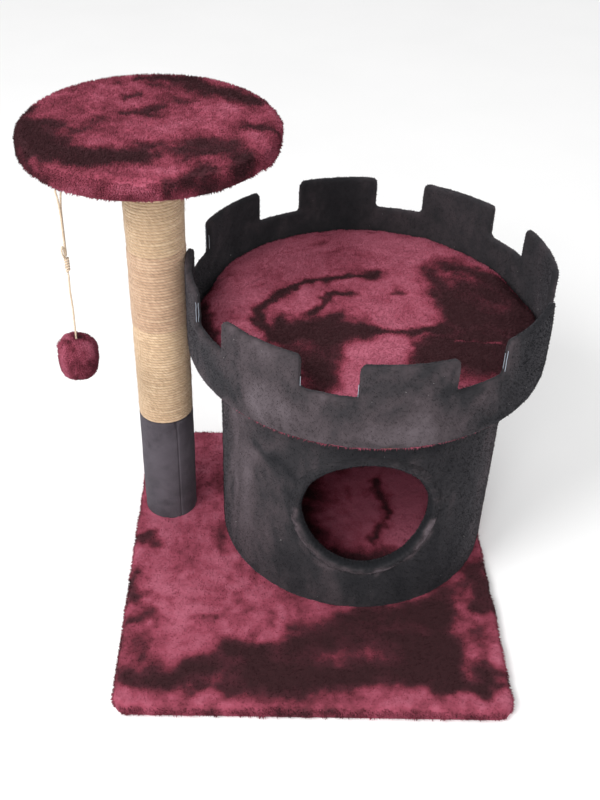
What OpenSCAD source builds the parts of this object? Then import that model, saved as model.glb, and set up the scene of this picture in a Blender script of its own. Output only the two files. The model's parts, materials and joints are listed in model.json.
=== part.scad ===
// Cat tree: a plush-covered base that carries a sisal scratching post with a round perch, and a
// round den with a castle-shaped bed on top. A pompom hangs from the perch on a looped string.
// Millimetres, +Z up. The origin is the centre of the base's underside, on the floor.

/* [Base] */
// Width of the base, left to right
base_w = 480; // [460:1:560]
// Depth of the base, front to back
base_d = 514; // [500:1:600]
// Thickness of the base board
base_board_t = 15; // [12:1:18]
// Radius of the base's corners
base_corner_r = 18; // [10:1:40]

/* [Fabric] */
// Thickness of the plush with its pile
plush_t = 3; // [2:0.5:4]
// Thickness of the felt undersides and of the hems that are turned under the boards
felt_t = 2; // [1:0.5:3]
// Width of the hems
hem_w = 30; // [20:1:40]

/* [Post] */
// Centre of the post, left or right of the base's centre
post_x = -196; // [-200:1:-190]
// Centre of the post, in front of or behind the base's centre
post_y = 97.5; // [80:0.5:110]
// Height of the post's top above the floor
post_top_z = 576; // [500:1:620]
// Outer radius of the post's cardboard tube
tube_r = 32; // [28:1:40]
// Wall thickness of the cardboard tube
tube_t = 5; // [3:1:6]
// Height of the plugs in the tube's ends
plug_h = 30; // [25:1:40]
// Outer radius of the fabric sleeve round the foot of the post
sleeve_r = 36.8; // [35:0.1:45]
// Height of the sleeve's top edge above the floor
sleeve_top_z = 192.5; // [150:0.5:250]
// Outer radius of the sisal winding
sisal_r = 36.3; // [34:0.1:44]
// Height at which the lower length of sisal ends and the middle one begins
sisal_middle_z = 338.6; // [300:0.1:380]
// Height at which the middle length of sisal ends and the upper one begins
sisal_upper_z = 446; // [420:0.1:500]
// Diameter of the sisal twine
twine_d = 5; // [4:0.5:6]

/* [Perch] */
// Radius of the perch with its plush
perch_r = 147.5; // [140:0.5:170]
// Thickness of the perch's board
perch_board_t = 15; // [12:1:18]
// Thickness of the wadding under the perch's plush
perch_pad_t = 3; // [2:1:10]

/* [Den] */
// Centre of the den, left or right of the base's centre
den_x = 63; // [55:1:70]
// Centre of the den, in front of or behind the base's centre
den_y = 82.5; // [75:0.5:90]
// Outer radius of the den with its plush
den_r = 182; // [175:0.5:185]
// Height of the den's top edge above the floor
den_top_z = 317; // [300:1:340]
// Thickness of the den's cardboard wall
den_wall_t = 5; // [3:1:8]
// Thickness of the den's round end boards
den_board_t = 12; // [10:1:15]
// Clear width of the entrance
entrance_w = 158; // [140:1:170]
// Clear height of the entrance
entrance_h = 168; // [150:1:180]
// Height of the entrance's centre above the floor
entrance_z = 180; // [160:1:185]
// Width of the padded rim round the entrance
rim_w = 6; // [4:0.5:8]

/* [Castle bed] */
// Outer radius of the castle wall with its plush
castle_r = 223; // [215:0.5:230]
// Thickness of the castle wall's hardboard
castle_board_t = 3.5; // [3:0.5:5]
// Thickness of the plush on the castle wall
castle_plush_t = 2.5; // [2:0.5:3]
// Height of the castle wall's bottom edge above the floor
castle_bottom_z = 325.5; // [325:0.5:330]
// Height of the gaps' bottom edge above the floor
gap_bottom_z = 393; // [385:1:400]
// Height of the merlons' top above the floor
castle_top_z = 437; // [425:1:450]
// Number of merlons, which is also the number of gaps
merlon_count = 8; // [8:1:8]
// Width of each gap between two merlons
gap_w = 64; // [50:1:75]
// Radius of the merlons' upper corners
merlon_corner_r = 9; // [4:1:12]
// Thickness of the bed's board
bed_board_t = 15; // [12:1:18]
// Height of the bed's plush where it meets the castle wall
bed_edge_z = 364; // [355:1:375]
// How much higher the bed is at its centre than at its edge
bed_crown = 8; // [2:1:15]

/* [Toy] */
// Distance of the string's staple from the post's axis
staple_reach = 140; // [135:1:141]
// Diameter of the string
string_d = 2.2; // [1.5:0.1:2.4]
// Width of the pompom
pompom_w = 49; // [35:1:60]
// Height of the pompom
pompom_h = 58; // [40:1:64]

/* [Hidden] */
$fn = 96;
eps = 0.01;

// Heights of the layers
base_board_z = felt_t;
base_top_z = base_board_z + base_board_t + plush_t;
perch_board_z = post_top_z + felt_t;
perch_pad_z = perch_board_z + perch_board_t;
perch_plush_z = perch_pad_z + perch_pad_t;
perch_top_z = perch_plush_z + plush_t;
den_carpet_z = base_top_z + den_board_t;
den_top_board_z = den_top_z - den_board_t;
den_ceiling_z = den_top_board_z - felt_t;
bed_board_z = den_top_z + felt_t;
bed_foam_z = bed_board_z + bed_board_t;

// Radii of the den and the castle
den_wall_r = den_r - 4;
den_room_r = den_wall_r - den_wall_t;
den_lining_r = den_room_r - plush_t;
castle_inner_r = castle_r - castle_board_t - 2 * castle_plush_t;
bed_r = castle_inner_r;
bed_board_r = bed_r - plush_t;
castle_board_r = castle_r - castle_plush_t;
perch_board_r = perch_r - plush_t - 0.5;

// Hexagon bolts: shank radius, head radius over corners, head height, washer radius and thickness
small_bolt = [4, 7.5, 5.3, 10, 1.6];
large_bolt = [5, 9.8, 6.4, 12, 2];
hole_gap = 0.5;
thread_gap = 0.1;
flange_t = 1.5;
flange_r = 9;
barrel_r = 5.6;
large_flange_r = 11;
large_barrel_r = 6.6;
insert_r = 7;
insert_h = 25;
den_bolt_ring_r = 120;
den_bolt_angles = [45, 135, 225, 315];
bed_bolt_angles = [0, 90, 180, 270];
recess_r = 11;
large_recess_r = 13;
recess_h = 7;
large_recess_h = 8.6;

// Nails: shank radius, head radius, head thickness, length, and how deep a head is driven into the den wall
nail_r = 0.9;
nail_head_r = 2.6;
nail_head_t = 0.8;
nail_length = 20;
nail_sink = 0.2;
den_nail_count = 12;
castle_nail_count = 16;
castle_nail_z = castle_bottom_z + 4;

// The castle's first gap, and the turn from one gap to the next
first_gap_a = 30;
gap_step_a = 360 / merlon_count;
arc_steps = 6;
flare_lift = 0.06;
oval_steps = 60;
dome_steps = 12;

// The string's staple, and the direction from the post out to it
out_a = 232;
staple_x = post_x + staple_reach * cos(out_a);
staple_y = post_y + staple_reach * sin(out_a);
staple_z = 570.5;
staple_wire_r = 0.8;
staple_half_w = 4.5;
staple_top_z = 588;
string_sides = 8;
knot_top_z = 492;
knot_bottom_z = 470;
lower_string_top_z = 468.2;
pompom_z = 356;

// The looped string's route from the knot, over the staple's wire and back to the knot. Each
// point is out along out_a, sideways and up, with the staple's foot on the floor as its origin.
loop_route = [
  [0.4, 1.2, 491.5], [0.4, 1.3, 500], [0.7, 1.3, 511], [1.1, 1.2, 522], [1.5, 1.1, 533],
  [2.1, 0.9, 543], [2.9, 0.6, 552], [3.9, 0.3, 561], [4.3, 0.1, 566.5], [4.4, 0, 569.4],
  [3.8, 0, 571.6], [2.2, 0, 573.2], [0, 0, 573.8], [-2.2, 0, 573.2], [-3.8, 0, 571.6],
  [-4.4, 0, 569.4], [-4.3, -0.1, 566.5], [-3.9, -0.3, 561], [-2.9, -0.6, 552],
  [-2.1, -0.9, 543], [-1.5, -1.1, 533], [-1.1, -1.2, 522], [-0.7, -1.3, 511],
  [-0.4, -1.3, 500], [-0.4, -1.2, 491.5]
];

// The single string's route from under the knot into the pompom, in the same way
lower_route = [
  [0, 0, lower_string_top_z], [0, 0, 464], [0.2, 0.1, 459], [0.5, 0.2, 454], [0.7, 0.2, 449],
  [0.7, 0.3, 444], [0.5, 0.3, 439], [0.2, 0.2, 434], [-0.1, 0.1, 429], [-0.4, -0.1, 424],
  [-0.6, -0.2, 419], [-0.6, -0.3, 414], [-0.4, -0.2, 409], [-0.2, -0.1, 404], [0, 0, 399],
  [0, 0, 394], [0, 0, 390], [0, 0, pompom_z + pompom_h / 2]
];

// ---- Shapes that several sub-parts share ----

// A flat slab with rounded corners, centred on the origin, from z up by h
module slab(w, d, z, h, r) {
  translate([-w / 2 + r, -d / 2, z]) cube([w - 2 * r, d, h]);
  translate([-w / 2, -d / 2 + r, z]) cube([w, d - 2 * r, h]);
  for (sx = [-1, 1], sy = [-1, 1])
    translate([sx * (w / 2 - r), sy * (d / 2 - r), z]) cylinder(h = h, r = r);
}

// A ring or tube about the Z axis
module ring(r_out, r_in, z, h) {
  translate([0, 0, z]) difference() {
    cylinder(h = h, r = r_out);
    translate([0, 0, -1]) cylinder(h = h + 2, r = r_in);
  }
}

// A round disc about the Z axis
module disc(r, z, h) {
  translate([0, 0, z]) cylinder(h = h, r = r);
}

module at_post() {
  translate([post_x, post_y, 0]) children();
}

module at_den() {
  translate([den_x, den_y, 0]) children();
}

// Children at each bolt of a circle round the den's axis
module at_bolts(angles) {
  at_den() for (a = angles) rotate(a) translate([den_bolt_ring_r, 0, 0]) children();
}

// A hexagon bolt that points up, with its head's underside at z
module hex_bolt(size, z, length) {
  translate([0, 0, z - size[2]]) cylinder(h = size[2], r = size[1], $fn = 6);
  translate([0, 0, z - eps]) cylinder(h = length + eps, r = size[0]);
}

module washer(size, z) {
  ring(size[3], size[0] + 0.3, z, size[4]);
}

// A tee nut pressed into the top of a board whose upper face is at z
module tee_nut(z, h, r_flange, r_barrel, r_thread) {
  difference() {
    union() {
      disc(r_flange, z - flange_t, flange_t);
      disc(r_barrel, z - h, h - eps);
    }
    disc(r_thread, z - h - 1, h + 2);
  }
}

// The seat of a tee nut in a board from z_low to z_high
module tee_nut_seat(z_low, z_high, r_flange, r_barrel) {
  disc(r_barrel, z_low - 1, z_high - z_low + 2);
  disc(r_flange, z_high - flange_t, flange_t + 1);
}

// A nail that points towards the Z axis, with its head's outer face at radius r_out
module nail(r_out, z, length) {
  translate([r_out - nail_head_t, 0, z]) rotate([0, 90, 0]) cylinder(h = nail_head_t, r = nail_head_r);
  translate([r_out - length, 0, z]) rotate([0, 90, 0]) cylinder(h = length - eps, r = nail_r);
}

// A prism through the den's front wall with an oval outline
module entrance_cut(margin) {
  rx = entrance_w / 2 + margin;
  rz = entrance_h / 2 + margin;
  translate([0, 0, entrance_z]) rotate([90, 0, 0]) linear_extrude(height = den_r + 20)
    polygon([for (i = [0 : oval_steps - 1]) let(a = 360 * i / oval_steps) [rx * cos(a), rz * sin(a)]]);
}

// The outline of one gap between merlons, across and up, flared at the merlons' round corners.
// The flare's arc ends a little above the ring's top, so that it cuts the top at an angle.
function flare(side, half, r, z_top) = [
  for (i = [0 : arc_steps])
    let(a = 90 * i / arc_steps)
    [side * (half + r - r * cos(a)), z_top - r + r * flare_lift + r * sin(a)]
];
function reversed(points) = [for (i = [len(points) - 1 : -1 : 0]) points[i]];
function gap_outline(half, z_low, z_top, r) = concat(
  [[-half, z_low], [half, z_low]],
  flare(1, half, r, z_top),
  [[half + r, z_top + 5], [-half - r, z_top + 5]],
  reversed(flare(-1, half, r, z_top))
);

// The castle wall as a ring whose upper edge has gaps between merlons. margin takes the ring
// back from the finished surface, as the hardboard is inside its plush.
module castle_ring(r_out, r_in, margin) {
  z_top = castle_top_z - margin;
  difference() {
    ring(r_out, r_in, castle_bottom_z, z_top - castle_bottom_z);
    for (i = [0 : merlon_count - 1])
      rotate(first_gap_a + i * gap_step_a)
        translate([castle_inner_r - 20, 0, 0]) rotate([90, 0, 90]) linear_extrude(height = 40)
          polygon(gap_outline(gap_w / 2 + margin, gap_bottom_z - margin, z_top, merlon_corner_r));
  }
}

// A disc with a domed top, as the bed's foam and its plush have
function dome_outline(r, z_low, z_edge, rise) = concat(
  [[0, z_low], [r, z_low]],
  [for (i = [dome_steps : -1 : 0]) let(s = i / dome_steps) [r * s, z_edge + rise * (1 - s * s * s)]]
);
module dome(r, z_low, z_edge, rise) {
  rotate_extrude() polygon(dome_outline(r, z_low, z_edge, rise));
}

// One length of twine wound on the tube: each turn stands out between two shallow grooves
function winding_outline(z_low, z_high) =
  let(turns = round((z_high - z_low) / twine_d), pitch = (z_high - z_low) / turns)
  concat(
    [[tube_r, z_low]],
    [for (i = [0 : turns - 1], k = [0.02, 0.3, 0.7, 0.98])
      [k < 0.1 || k > 0.9 ? sisal_r - 0.9 : sisal_r, z_low + pitch * (i + k)]],
    [[tube_r, z_high]]
  );
module sisal_winding(z_low, z_high) {
  at_post() rotate_extrude() polygon(winding_outline(z_low, z_high));
}

// ---- Cords ----

// A route's local point, out along out_a, sideways and up, in the model's frame
function toy_point(p) = [
  staple_x + p[0] * cos(out_a) - p[1] * sin(out_a),
  staple_y + p[0] * sin(out_a) + p[1] * cos(out_a),
  p[2]
];
function unit(v) = v / norm(v);
function tangent(route, i) =
  unit(route[min(i + 1, len(route) - 1)] - route[max(i - 1, 0)]);
// The sides of each ring are laid out from a fixed direction, so that the tube has no twist
function ring_points(centre, t, r) =
  let(u = unit(cross(t, [sin(out_a), -cos(out_a), 0])), v = cross(t, u))
  [for (k = [0 : string_sides - 1])
    let(a = 360 * k / string_sides) centre + r * (cos(a) * u + sin(a) * v)];
module cord_tube(route, r) {
  n = string_sides;
  last = len(route) - 1;
  rings = [for (i = [0 : last]) each ring_points(route[i], tangent(route, i), r)];
  sides = [for (i = [0 : last - 1], k = [0 : n - 1])
    [i * n + k, i * n + (k + 1) % n, (i + 1) * n + (k + 1) % n, (i + 1) * n + k]];
  first_cap = [for (k = [n - 1 : -1 : 0]) k];
  last_cap = [for (k = [0 : n - 1]) last * n + k];
  polyhedron(points = rings, faces = concat(sides, [first_cap], [last_cap]), convexity = 4);
}

// ---- Base ----

module base_board() {
  color([0.72, 0.58, 0.42]) difference() {
    slab(base_w - 2 * plush_t, base_d - 2 * plush_t, base_board_z, base_board_t,
      base_corner_r - plush_t);
    at_bolts(den_bolt_angles) {
      disc(small_bolt[0] + hole_gap, 0, base_top_z);
      disc(recess_r, 0, base_board_z + recess_h);
    }
    at_post() {
      disc(large_bolt[0] + hole_gap, 0, base_top_z);
      disc(large_recess_r, 0, base_board_z + large_recess_h);
    }
  }
}

module base_cover() {
  color([0.56, 0.27, 0.36]) difference() {
    slab(base_w, base_d, 0, base_top_z, base_corner_r);
    slab(base_w - 2 * plush_t, base_d - 2 * plush_t, base_board_z, base_board_t,
      base_corner_r - plush_t);
    slab(base_w - 2 * hem_w, base_d - 2 * hem_w, -1, base_board_z + 2, base_corner_r);
    at_bolts(den_bolt_angles) disc(small_bolt[0] + hole_gap, 0, base_top_z + 1);
    at_post() {
      disc(large_bolt[0] + hole_gap, 0, base_top_z + 1);
      disc(large_recess_r, -1, base_board_z + 2);
    }
  }
}

module base_backing() {
  color([0.2, 0.2, 0.21]) difference() {
    slab(base_w - 2 * hem_w, base_d - 2 * hem_w, 0, felt_t, base_corner_r);
    at_bolts(den_bolt_angles) disc(recess_r, -1, felt_t + 2);
    at_post() disc(large_recess_r, -1, felt_t + 2);
  }
}

// ---- Post ----

module post_tube() {
  color([0.62, 0.5, 0.38]) at_post() ring(tube_r, tube_r - tube_t, base_top_z, post_top_z - base_top_z);
}

// Two turned plugs, glued into the tube's ends
module post_plugs() {
  color([0.76, 0.62, 0.44]) at_post() difference() {
    for (z = [base_top_z, post_top_z - plug_h]) disc(tube_r - tube_t, z, plug_h);
    for (z = [base_top_z, post_top_z - insert_h]) disc(insert_r, z, insert_h);
    disc(insert_r, base_top_z - 1, 2);
    disc(insert_r, post_top_z - 1, 2);
  }
}

// Threaded inserts for the post's bolt and stud
module post_inserts() {
  color([0.75, 0.72, 0.6]) at_post()
    for (z = [base_top_z, post_top_z - insert_h])
      ring(insert_r, large_bolt[0] + thread_gap, z, insert_h);
}

module post_bolt() {
  z = base_board_z + large_recess_h - large_bolt[4];
  color([0.78, 0.78, 0.8]) at_post() hex_bolt(large_bolt, z, base_top_z + insert_h - 2 - z);
}

module post_bolt_washer() {
  color([0.78, 0.78, 0.8]) at_post() washer(large_bolt, base_board_z + large_recess_h - large_bolt[4]);
}

module post_stud() {
  color([0.78, 0.78, 0.8]) at_post()
    disc(large_bolt[0], post_top_z - insert_h + 3, insert_h + felt_t + perch_board_t - 5);
}

module post_sleeve() {
  color([0.33, 0.31, 0.33]) at_post() ring(sleeve_r, tube_r, base_top_z, sleeve_top_z - base_top_z);
}

module sisal_lower() {
  color([0.82, 0.68, 0.5]) sisal_winding(sleeve_top_z, sisal_middle_z);
}

module sisal_middle() {
  color([0.76, 0.6, 0.44]) sisal_winding(sisal_middle_z, sisal_upper_z);
}

module sisal_upper() {
  color([0.83, 0.7, 0.5]) sisal_winding(sisal_upper_z, post_top_z);
}

// ---- Perch ----

module perch_board() {
  color([0.72, 0.58, 0.42]) at_post() difference() {
    disc(perch_board_r, perch_board_z, perch_board_t);
    tee_nut_seat(perch_board_z, perch_pad_z, large_flange_r, large_barrel_r);
  }
}

module perch_tee_nut() {
  color([0.75, 0.72, 0.6]) at_post()
    tee_nut(perch_pad_z, perch_board_t - 2, large_flange_r, large_barrel_r, large_bolt[0] + thread_gap);
}

module perch_pad() {
  color([0.93, 0.92, 0.88]) at_post() disc(perch_board_r, perch_pad_z, perch_pad_t);
}

// Plush pulled over the board's edge, with its hem stapled to the underside
module perch_cover() {
  color([0.56, 0.27, 0.36]) at_post() difference() {
    disc(perch_r, post_top_z, perch_top_z - post_top_z);
    disc(perch_board_r, perch_board_z, perch_plush_z - perch_board_z);
    disc(perch_r - hem_w, post_top_z - 1, felt_t + 2);
  }
}

module perch_backing() {
  color([0.2, 0.2, 0.21]) at_post() ring(perch_r - hem_w, large_bolt[0] + hole_gap, post_top_z, felt_t);
}

// ---- Den ----

module den_wall() {
  color([0.62, 0.5, 0.38]) at_den() difference() {
    ring(den_wall_r, den_room_r, base_top_z, den_top_z - base_top_z);
    entrance_cut(rim_w);
  }
}

module den_floor_board() {
  color([0.72, 0.58, 0.42]) difference() {
    at_den() disc(den_room_r, base_top_z, den_board_t);
    at_bolts(den_bolt_angles) tee_nut_seat(base_top_z, den_carpet_z, flange_r, barrel_r);
  }
}

module den_top_board() {
  color([0.72, 0.58, 0.42]) difference() {
    at_den() disc(den_room_r, den_top_board_z, den_board_t);
    at_bolts(bed_bolt_angles) disc(small_bolt[0] + hole_gap, den_top_board_z - 1, den_board_t + 2);
  }
}

// Nails through the den's wall into the edges of its two round boards
module den_wall_nails() {
  color([0.7, 0.7, 0.72]) at_den()
    for (i = [0 : den_nail_count - 1], z = [base_top_z + den_board_t / 2, den_top_z - den_board_t / 2])
      rotate((i + 0.5) * 360 / den_nail_count) nail(den_wall_r - nail_sink, z, nail_length);
}

module den_cover() {
  color([0.3, 0.28, 0.3]) at_den() difference() {
    ring(den_r, den_wall_r, base_top_z, den_top_z - base_top_z);
    entrance_cut(rim_w);
  }
}

module den_lining() {
  color([0.5, 0.2, 0.28]) at_den() difference() {
    ring(den_room_r, den_lining_r, den_carpet_z, den_top_board_z - den_carpet_z);
    entrance_cut(rim_w);
  }
}

module den_floor_carpet() {
  color([0.56, 0.27, 0.36]) at_den() disc(den_lining_r, den_carpet_z, plush_t);
}

module den_ceiling_lining() {
  color([0.56, 0.27, 0.36]) difference() {
    at_den() disc(den_lining_r, den_ceiling_z, felt_t);
    at_bolts(bed_bolt_angles) disc(small_bolt[0] + hole_gap, den_ceiling_z - 1, felt_t + 2);
  }
}

// A padded strip of plush bound round the cut edge of the entrance
module entrance_rim() {
  color([0.2, 0.19, 0.21]) at_den() intersection() {
    ring(den_r + 2.5, den_lining_r - 1, base_top_z, den_top_z - base_top_z);
    difference() {
      entrance_cut(rim_w);
      entrance_cut(0);
    }
  }
}

module den_bolts() {
  z = base_board_z + recess_h - small_bolt[4];
  color([0.78, 0.78, 0.8]) at_bolts(den_bolt_angles) hex_bolt(small_bolt, z, den_carpet_z - 1 - z);
}

module den_bolt_washers() {
  color([0.78, 0.78, 0.8]) at_bolts(den_bolt_angles)
    washer(small_bolt, base_board_z + recess_h - small_bolt[4]);
}

module den_tee_nuts() {
  color([0.75, 0.72, 0.6]) at_bolts(den_bolt_angles)
    tee_nut(den_carpet_z, den_board_t - 2, flange_r, barrel_r, small_bolt[0] + thread_gap);
}

// ---- Castle bed ----

module bed_board() {
  color([0.72, 0.58, 0.42]) difference() {
    at_den() disc(bed_board_r, bed_board_z, bed_board_t);
    at_bolts(bed_bolt_angles) tee_nut_seat(bed_board_z, bed_foam_z, flange_r, barrel_r);
  }
}

module bed_backing() {
  color([0.2, 0.2, 0.21]) difference() {
    at_den() disc(bed_r - hem_w, den_top_z, felt_t);
    at_bolts(bed_bolt_angles) disc(small_bolt[0] + hole_gap, den_top_z - 1, felt_t + 2);
  }
}

module bed_foam() {
  color([0.95, 0.93, 0.82]) at_den() dome(bed_board_r, bed_foam_z, bed_edge_z - plush_t, bed_crown);
}

// Plush pulled over the foam and the board's edge, with its hem stapled to the underside
module bed_cover() {
  color([0.5, 0.24, 0.32]) at_den() difference() {
    dome(bed_r, den_top_z, bed_edge_z, bed_crown);
    dome(bed_board_r, bed_board_z, bed_edge_z - plush_t, bed_crown);
    disc(bed_r - hem_w, den_top_z - 1, felt_t + 2);
  }
}

// Bolts put in from inside the den, up into the bed's board
module bed_bolts() {
  z = den_ceiling_z - small_bolt[4];
  color([0.78, 0.78, 0.8]) at_bolts(bed_bolt_angles) hex_bolt(small_bolt, z, bed_foam_z - 1 - z);
}

module bed_bolt_washers() {
  color([0.78, 0.78, 0.8]) at_bolts(bed_bolt_angles) washer(small_bolt, den_ceiling_z - small_bolt[4]);
}

module bed_tee_nuts() {
  color([0.75, 0.72, 0.6]) at_bolts(bed_bolt_angles)
    tee_nut(bed_foam_z, bed_board_t - 2, flange_r, barrel_r, small_bolt[0] + thread_gap);
}

module castle_wall() {
  color([0.55, 0.4, 0.26]) at_den()
    castle_ring(castle_board_r, castle_board_r - castle_board_t, castle_plush_t);
}

// Plush over both faces of the hardboard and over its upper edge
module castle_cover() {
  color([0.3, 0.28, 0.3]) at_den() difference() {
    castle_ring(castle_r, castle_inner_r, 0);
    castle_ring(castle_board_r, castle_board_r - castle_board_t, castle_plush_t);
  }
}

// Nails through the hardboard into the edge of the bed's board
module castle_nails() {
  color([0.7, 0.7, 0.72]) at_den()
    for (i = [0 : castle_nail_count - 1])
      rotate((i + 0.5) * 360 / castle_nail_count) nail(castle_board_r, castle_nail_z, nail_length);
}

// ---- Toy ----

// A wire staple in the perch's underside, with its wire across the direction away from the post
module toy_staple() {
  color([0.75, 0.75, 0.78]) translate([staple_x, staple_y, 0]) rotate(out_a) {
    translate([0, -staple_half_w, staple_z]) rotate([-90, 0, 0])
      cylinder(h = 2 * staple_half_w, r = staple_wire_r, $fn = 24);
    for (side = [-1, 1]) translate([0, side * staple_half_w, 0]) {
      translate([0, 0, staple_z]) sphere(r = staple_wire_r, $fn = 24);
      disc(staple_wire_r, staple_z, staple_top_z - staple_z, $fn = 24);
    }
  }
}

module toy_string_loop() {
  color([0.85, 0.75, 0.6]) cord_tube([for (p = loop_route) toy_point(p)], string_d / 2);
}

// The knot that closes the loop, narrower where the single string comes out
module toy_knot() {
  h = knot_top_z - knot_bottom_z;
  color([0.8, 0.68, 0.52]) translate([staple_x, staple_y, knot_bottom_z])
    rotate_extrude($fn = 32) polygon([
      [0, 0], [1, 0], [1.9, 0.08 * h], [2.1, 0.4 * h], [3.1, 0.55 * h], [3.4, 0.7 * h],
      [3.1, 0.85 * h], [2.3, 0.97 * h], [0, 0.97 * h]
    ]);
}

module toy_string_lower() {
  color([0.85, 0.75, 0.6]) cord_tube([for (p = lower_route) toy_point(p)], string_d / 2);
}

// A ball of plush, tied to the string's end
function pompom_outline() = [
  for (i = [0 : 2 * dome_steps])
    let(a = -90 + 90 * i / dome_steps, c = cos(a), s = sin(a))
    [pompom_w / 2 * pow(max(c, 0), 0.85), pompom_h / 2 * sign(s) * pow(abs(s), 0.9)]
];
module toy_pompom() {
  color([0.5, 0.24, 0.32]) translate([staple_x, staple_y, pompom_z])
    rotate_extrude($fn = 48) polygon(pompom_outline());
}

base_board();
base_cover();
base_backing();
post_tube();
post_plugs();
post_inserts();
post_bolt();
post_bolt_washer();
post_stud();
post_sleeve();
sisal_lower();
sisal_middle();
sisal_upper();
perch_board();
perch_tee_nut();
perch_pad();
perch_cover();
perch_backing();
den_wall();
den_floor_board();
den_top_board();
den_wall_nails();
den_cover();
den_lining();
den_floor_carpet();
den_ceiling_lining();
entrance_rim();
den_bolts();
den_bolt_washers();
den_tee_nuts();
bed_board();
bed_backing();
bed_foam();
bed_cover();
bed_bolts();
bed_bolt_washers();
bed_tee_nuts();
castle_wall();
castle_cover();
castle_nails();
toy_staple();
toy_string_loop();
toy_knot();
toy_string_lower();
toy_pompom();
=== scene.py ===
import json
import math

import bmesh
import bpy
import numpy as np
from mathutils import Matrix, Vector


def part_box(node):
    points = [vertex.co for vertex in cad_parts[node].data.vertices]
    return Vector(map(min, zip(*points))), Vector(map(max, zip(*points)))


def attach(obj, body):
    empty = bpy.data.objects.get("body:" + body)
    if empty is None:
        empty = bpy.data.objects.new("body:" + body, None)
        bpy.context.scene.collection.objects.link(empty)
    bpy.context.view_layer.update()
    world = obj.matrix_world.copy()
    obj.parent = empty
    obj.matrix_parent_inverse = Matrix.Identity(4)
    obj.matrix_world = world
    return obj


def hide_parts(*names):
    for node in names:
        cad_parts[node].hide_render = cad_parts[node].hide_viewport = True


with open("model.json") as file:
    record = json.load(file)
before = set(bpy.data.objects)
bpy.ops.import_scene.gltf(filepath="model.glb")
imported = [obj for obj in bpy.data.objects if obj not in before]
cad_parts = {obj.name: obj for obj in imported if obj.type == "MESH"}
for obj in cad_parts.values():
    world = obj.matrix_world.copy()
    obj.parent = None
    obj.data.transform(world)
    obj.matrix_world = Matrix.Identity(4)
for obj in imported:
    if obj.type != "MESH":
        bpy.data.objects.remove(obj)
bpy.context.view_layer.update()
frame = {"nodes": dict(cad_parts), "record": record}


# ---- Camera ----
# A person's view from in front of the cat tree, looking down on the bed and the perch.
# The lens is shifted a little sideways, because the cat tree stands left of the picture's middle.

def linked(name, data):
    """A new object in the scene, from its data."""
    holder = bpy.data.objects.new(name, data)
    bpy.context.scene.collection.objects.link(holder)
    return holder


camera_at = Vector((-0.0591, -1.0167, 1.0754))
turn, tip, lean = (math.radians(angle) for angle in (-0.76, 37.91, 0.25))
ahead = Vector((math.sin(turn) * math.cos(tip), math.cos(turn) * math.cos(tip), -math.sin(tip)))
level = Vector((math.cos(turn), -math.sin(turn), 0))
above = level.cross(ahead)
right = level * math.cos(lean) + above * math.sin(lean)
up = above * math.cos(lean) - level * math.sin(lean)
camera = linked("camera", bpy.data.cameras.new("camera"))
camera.data.lens = 47.18
camera.data.shift_x = 0.0548
camera.matrix_world = Matrix((right, up, -ahead)).transposed().to_4x4()
camera.location = camera_at
bpy.context.scene.camera = camera


# ---- Toy string ----
# A doubled cotton string hangs by its loop from a wire staple under the perch. It is three plies
# twisted together, and a knot with one loose ear joins it to the single string below.

def lengths(vectors):
    """The length of each vector."""
    return np.linalg.norm(vectors, axis=1)


def far_along(line):
    """How far along a line each of its points lies."""
    return np.concatenate([[0], np.cumsum(lengths(np.diff(line, axis=0)))])


def smooth_run(points, step):
    """A smooth line through the points, as points about a step apart."""
    points = np.array(points, float)
    ends = np.vstack([2 * points[0] - points[1], points, 2 * points[-1] - points[-2]])
    line = []
    for before, a, b, after in zip(ends, ends[1:], ends[2:], ends[3:]):
        t = np.linspace(0, 1, 24, endpoint=False)[:, None]
        line.append(a + 0.5 * t * (b - before + t * (2 * before - 5 * a + 4 * b - after
                    + t * (3 * (a - b) + after - before))))
    line = np.vstack(line + [points[-1:]])
    far = far_along(line)
    even = np.linspace(0, far[-1], max(2, round(far[-1] / step)) + 1)
    return np.stack([np.interp(even, far, line[:, i]) for i in range(3)], axis=1)


def meshed(name, points, faces, smooth=True):
    """A mesh object from an array of points and arrays of faces with one number of corners each."""
    faces = [np.asarray(f, np.int32) for f in (faces if isinstance(faces, list) else [faces])]
    mesh = bpy.data.meshes.new(name)
    mesh.vertices.add(len(points))
    mesh.vertices.foreach_set("co", np.asarray(points, np.float32).ravel())
    corners = np.concatenate([np.full(len(f), f.shape[1], np.int32) for f in faces])
    mesh.loops.add(int(corners.sum()))
    mesh.loops.foreach_set("vertex_index", np.concatenate([f.ravel() for f in faces]))
    mesh.polygons.add(len(corners))
    mesh.polygons.foreach_set("loop_start", np.concatenate([[0], np.cumsum(corners)[:-1]]).astype(np.int32))
    mesh.update(calc_edges=True)
    mesh.polygons.foreach_set("use_smooth", np.full(len(corners), smooth))
    mesh.validate()
    return linked(name, mesh)


def mark(piece, name, values):
    """Stores one number for each point of a piece, for its material to read."""
    store = piece.data.attributes.new(name, "FLOAT", "POINT")
    store.data.foreach_set("value", np.asarray(values, np.float32))


def grid_faces(rows, columns, closed):
    """Faces between rows of points. With closed, a row's last point joins its first one."""
    steps = columns if closed else columns - 1
    row, column = (grid.ravel() for grid in np.meshgrid(np.arange(rows - 1), np.arange(steps), indexing="ij"))
    beside = (column + 1) % columns
    return np.stack([row * columns + column, row * columns + beside,
                     (row + 1) * columns + beside, (row + 1) * columns + column], axis=1)


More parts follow.
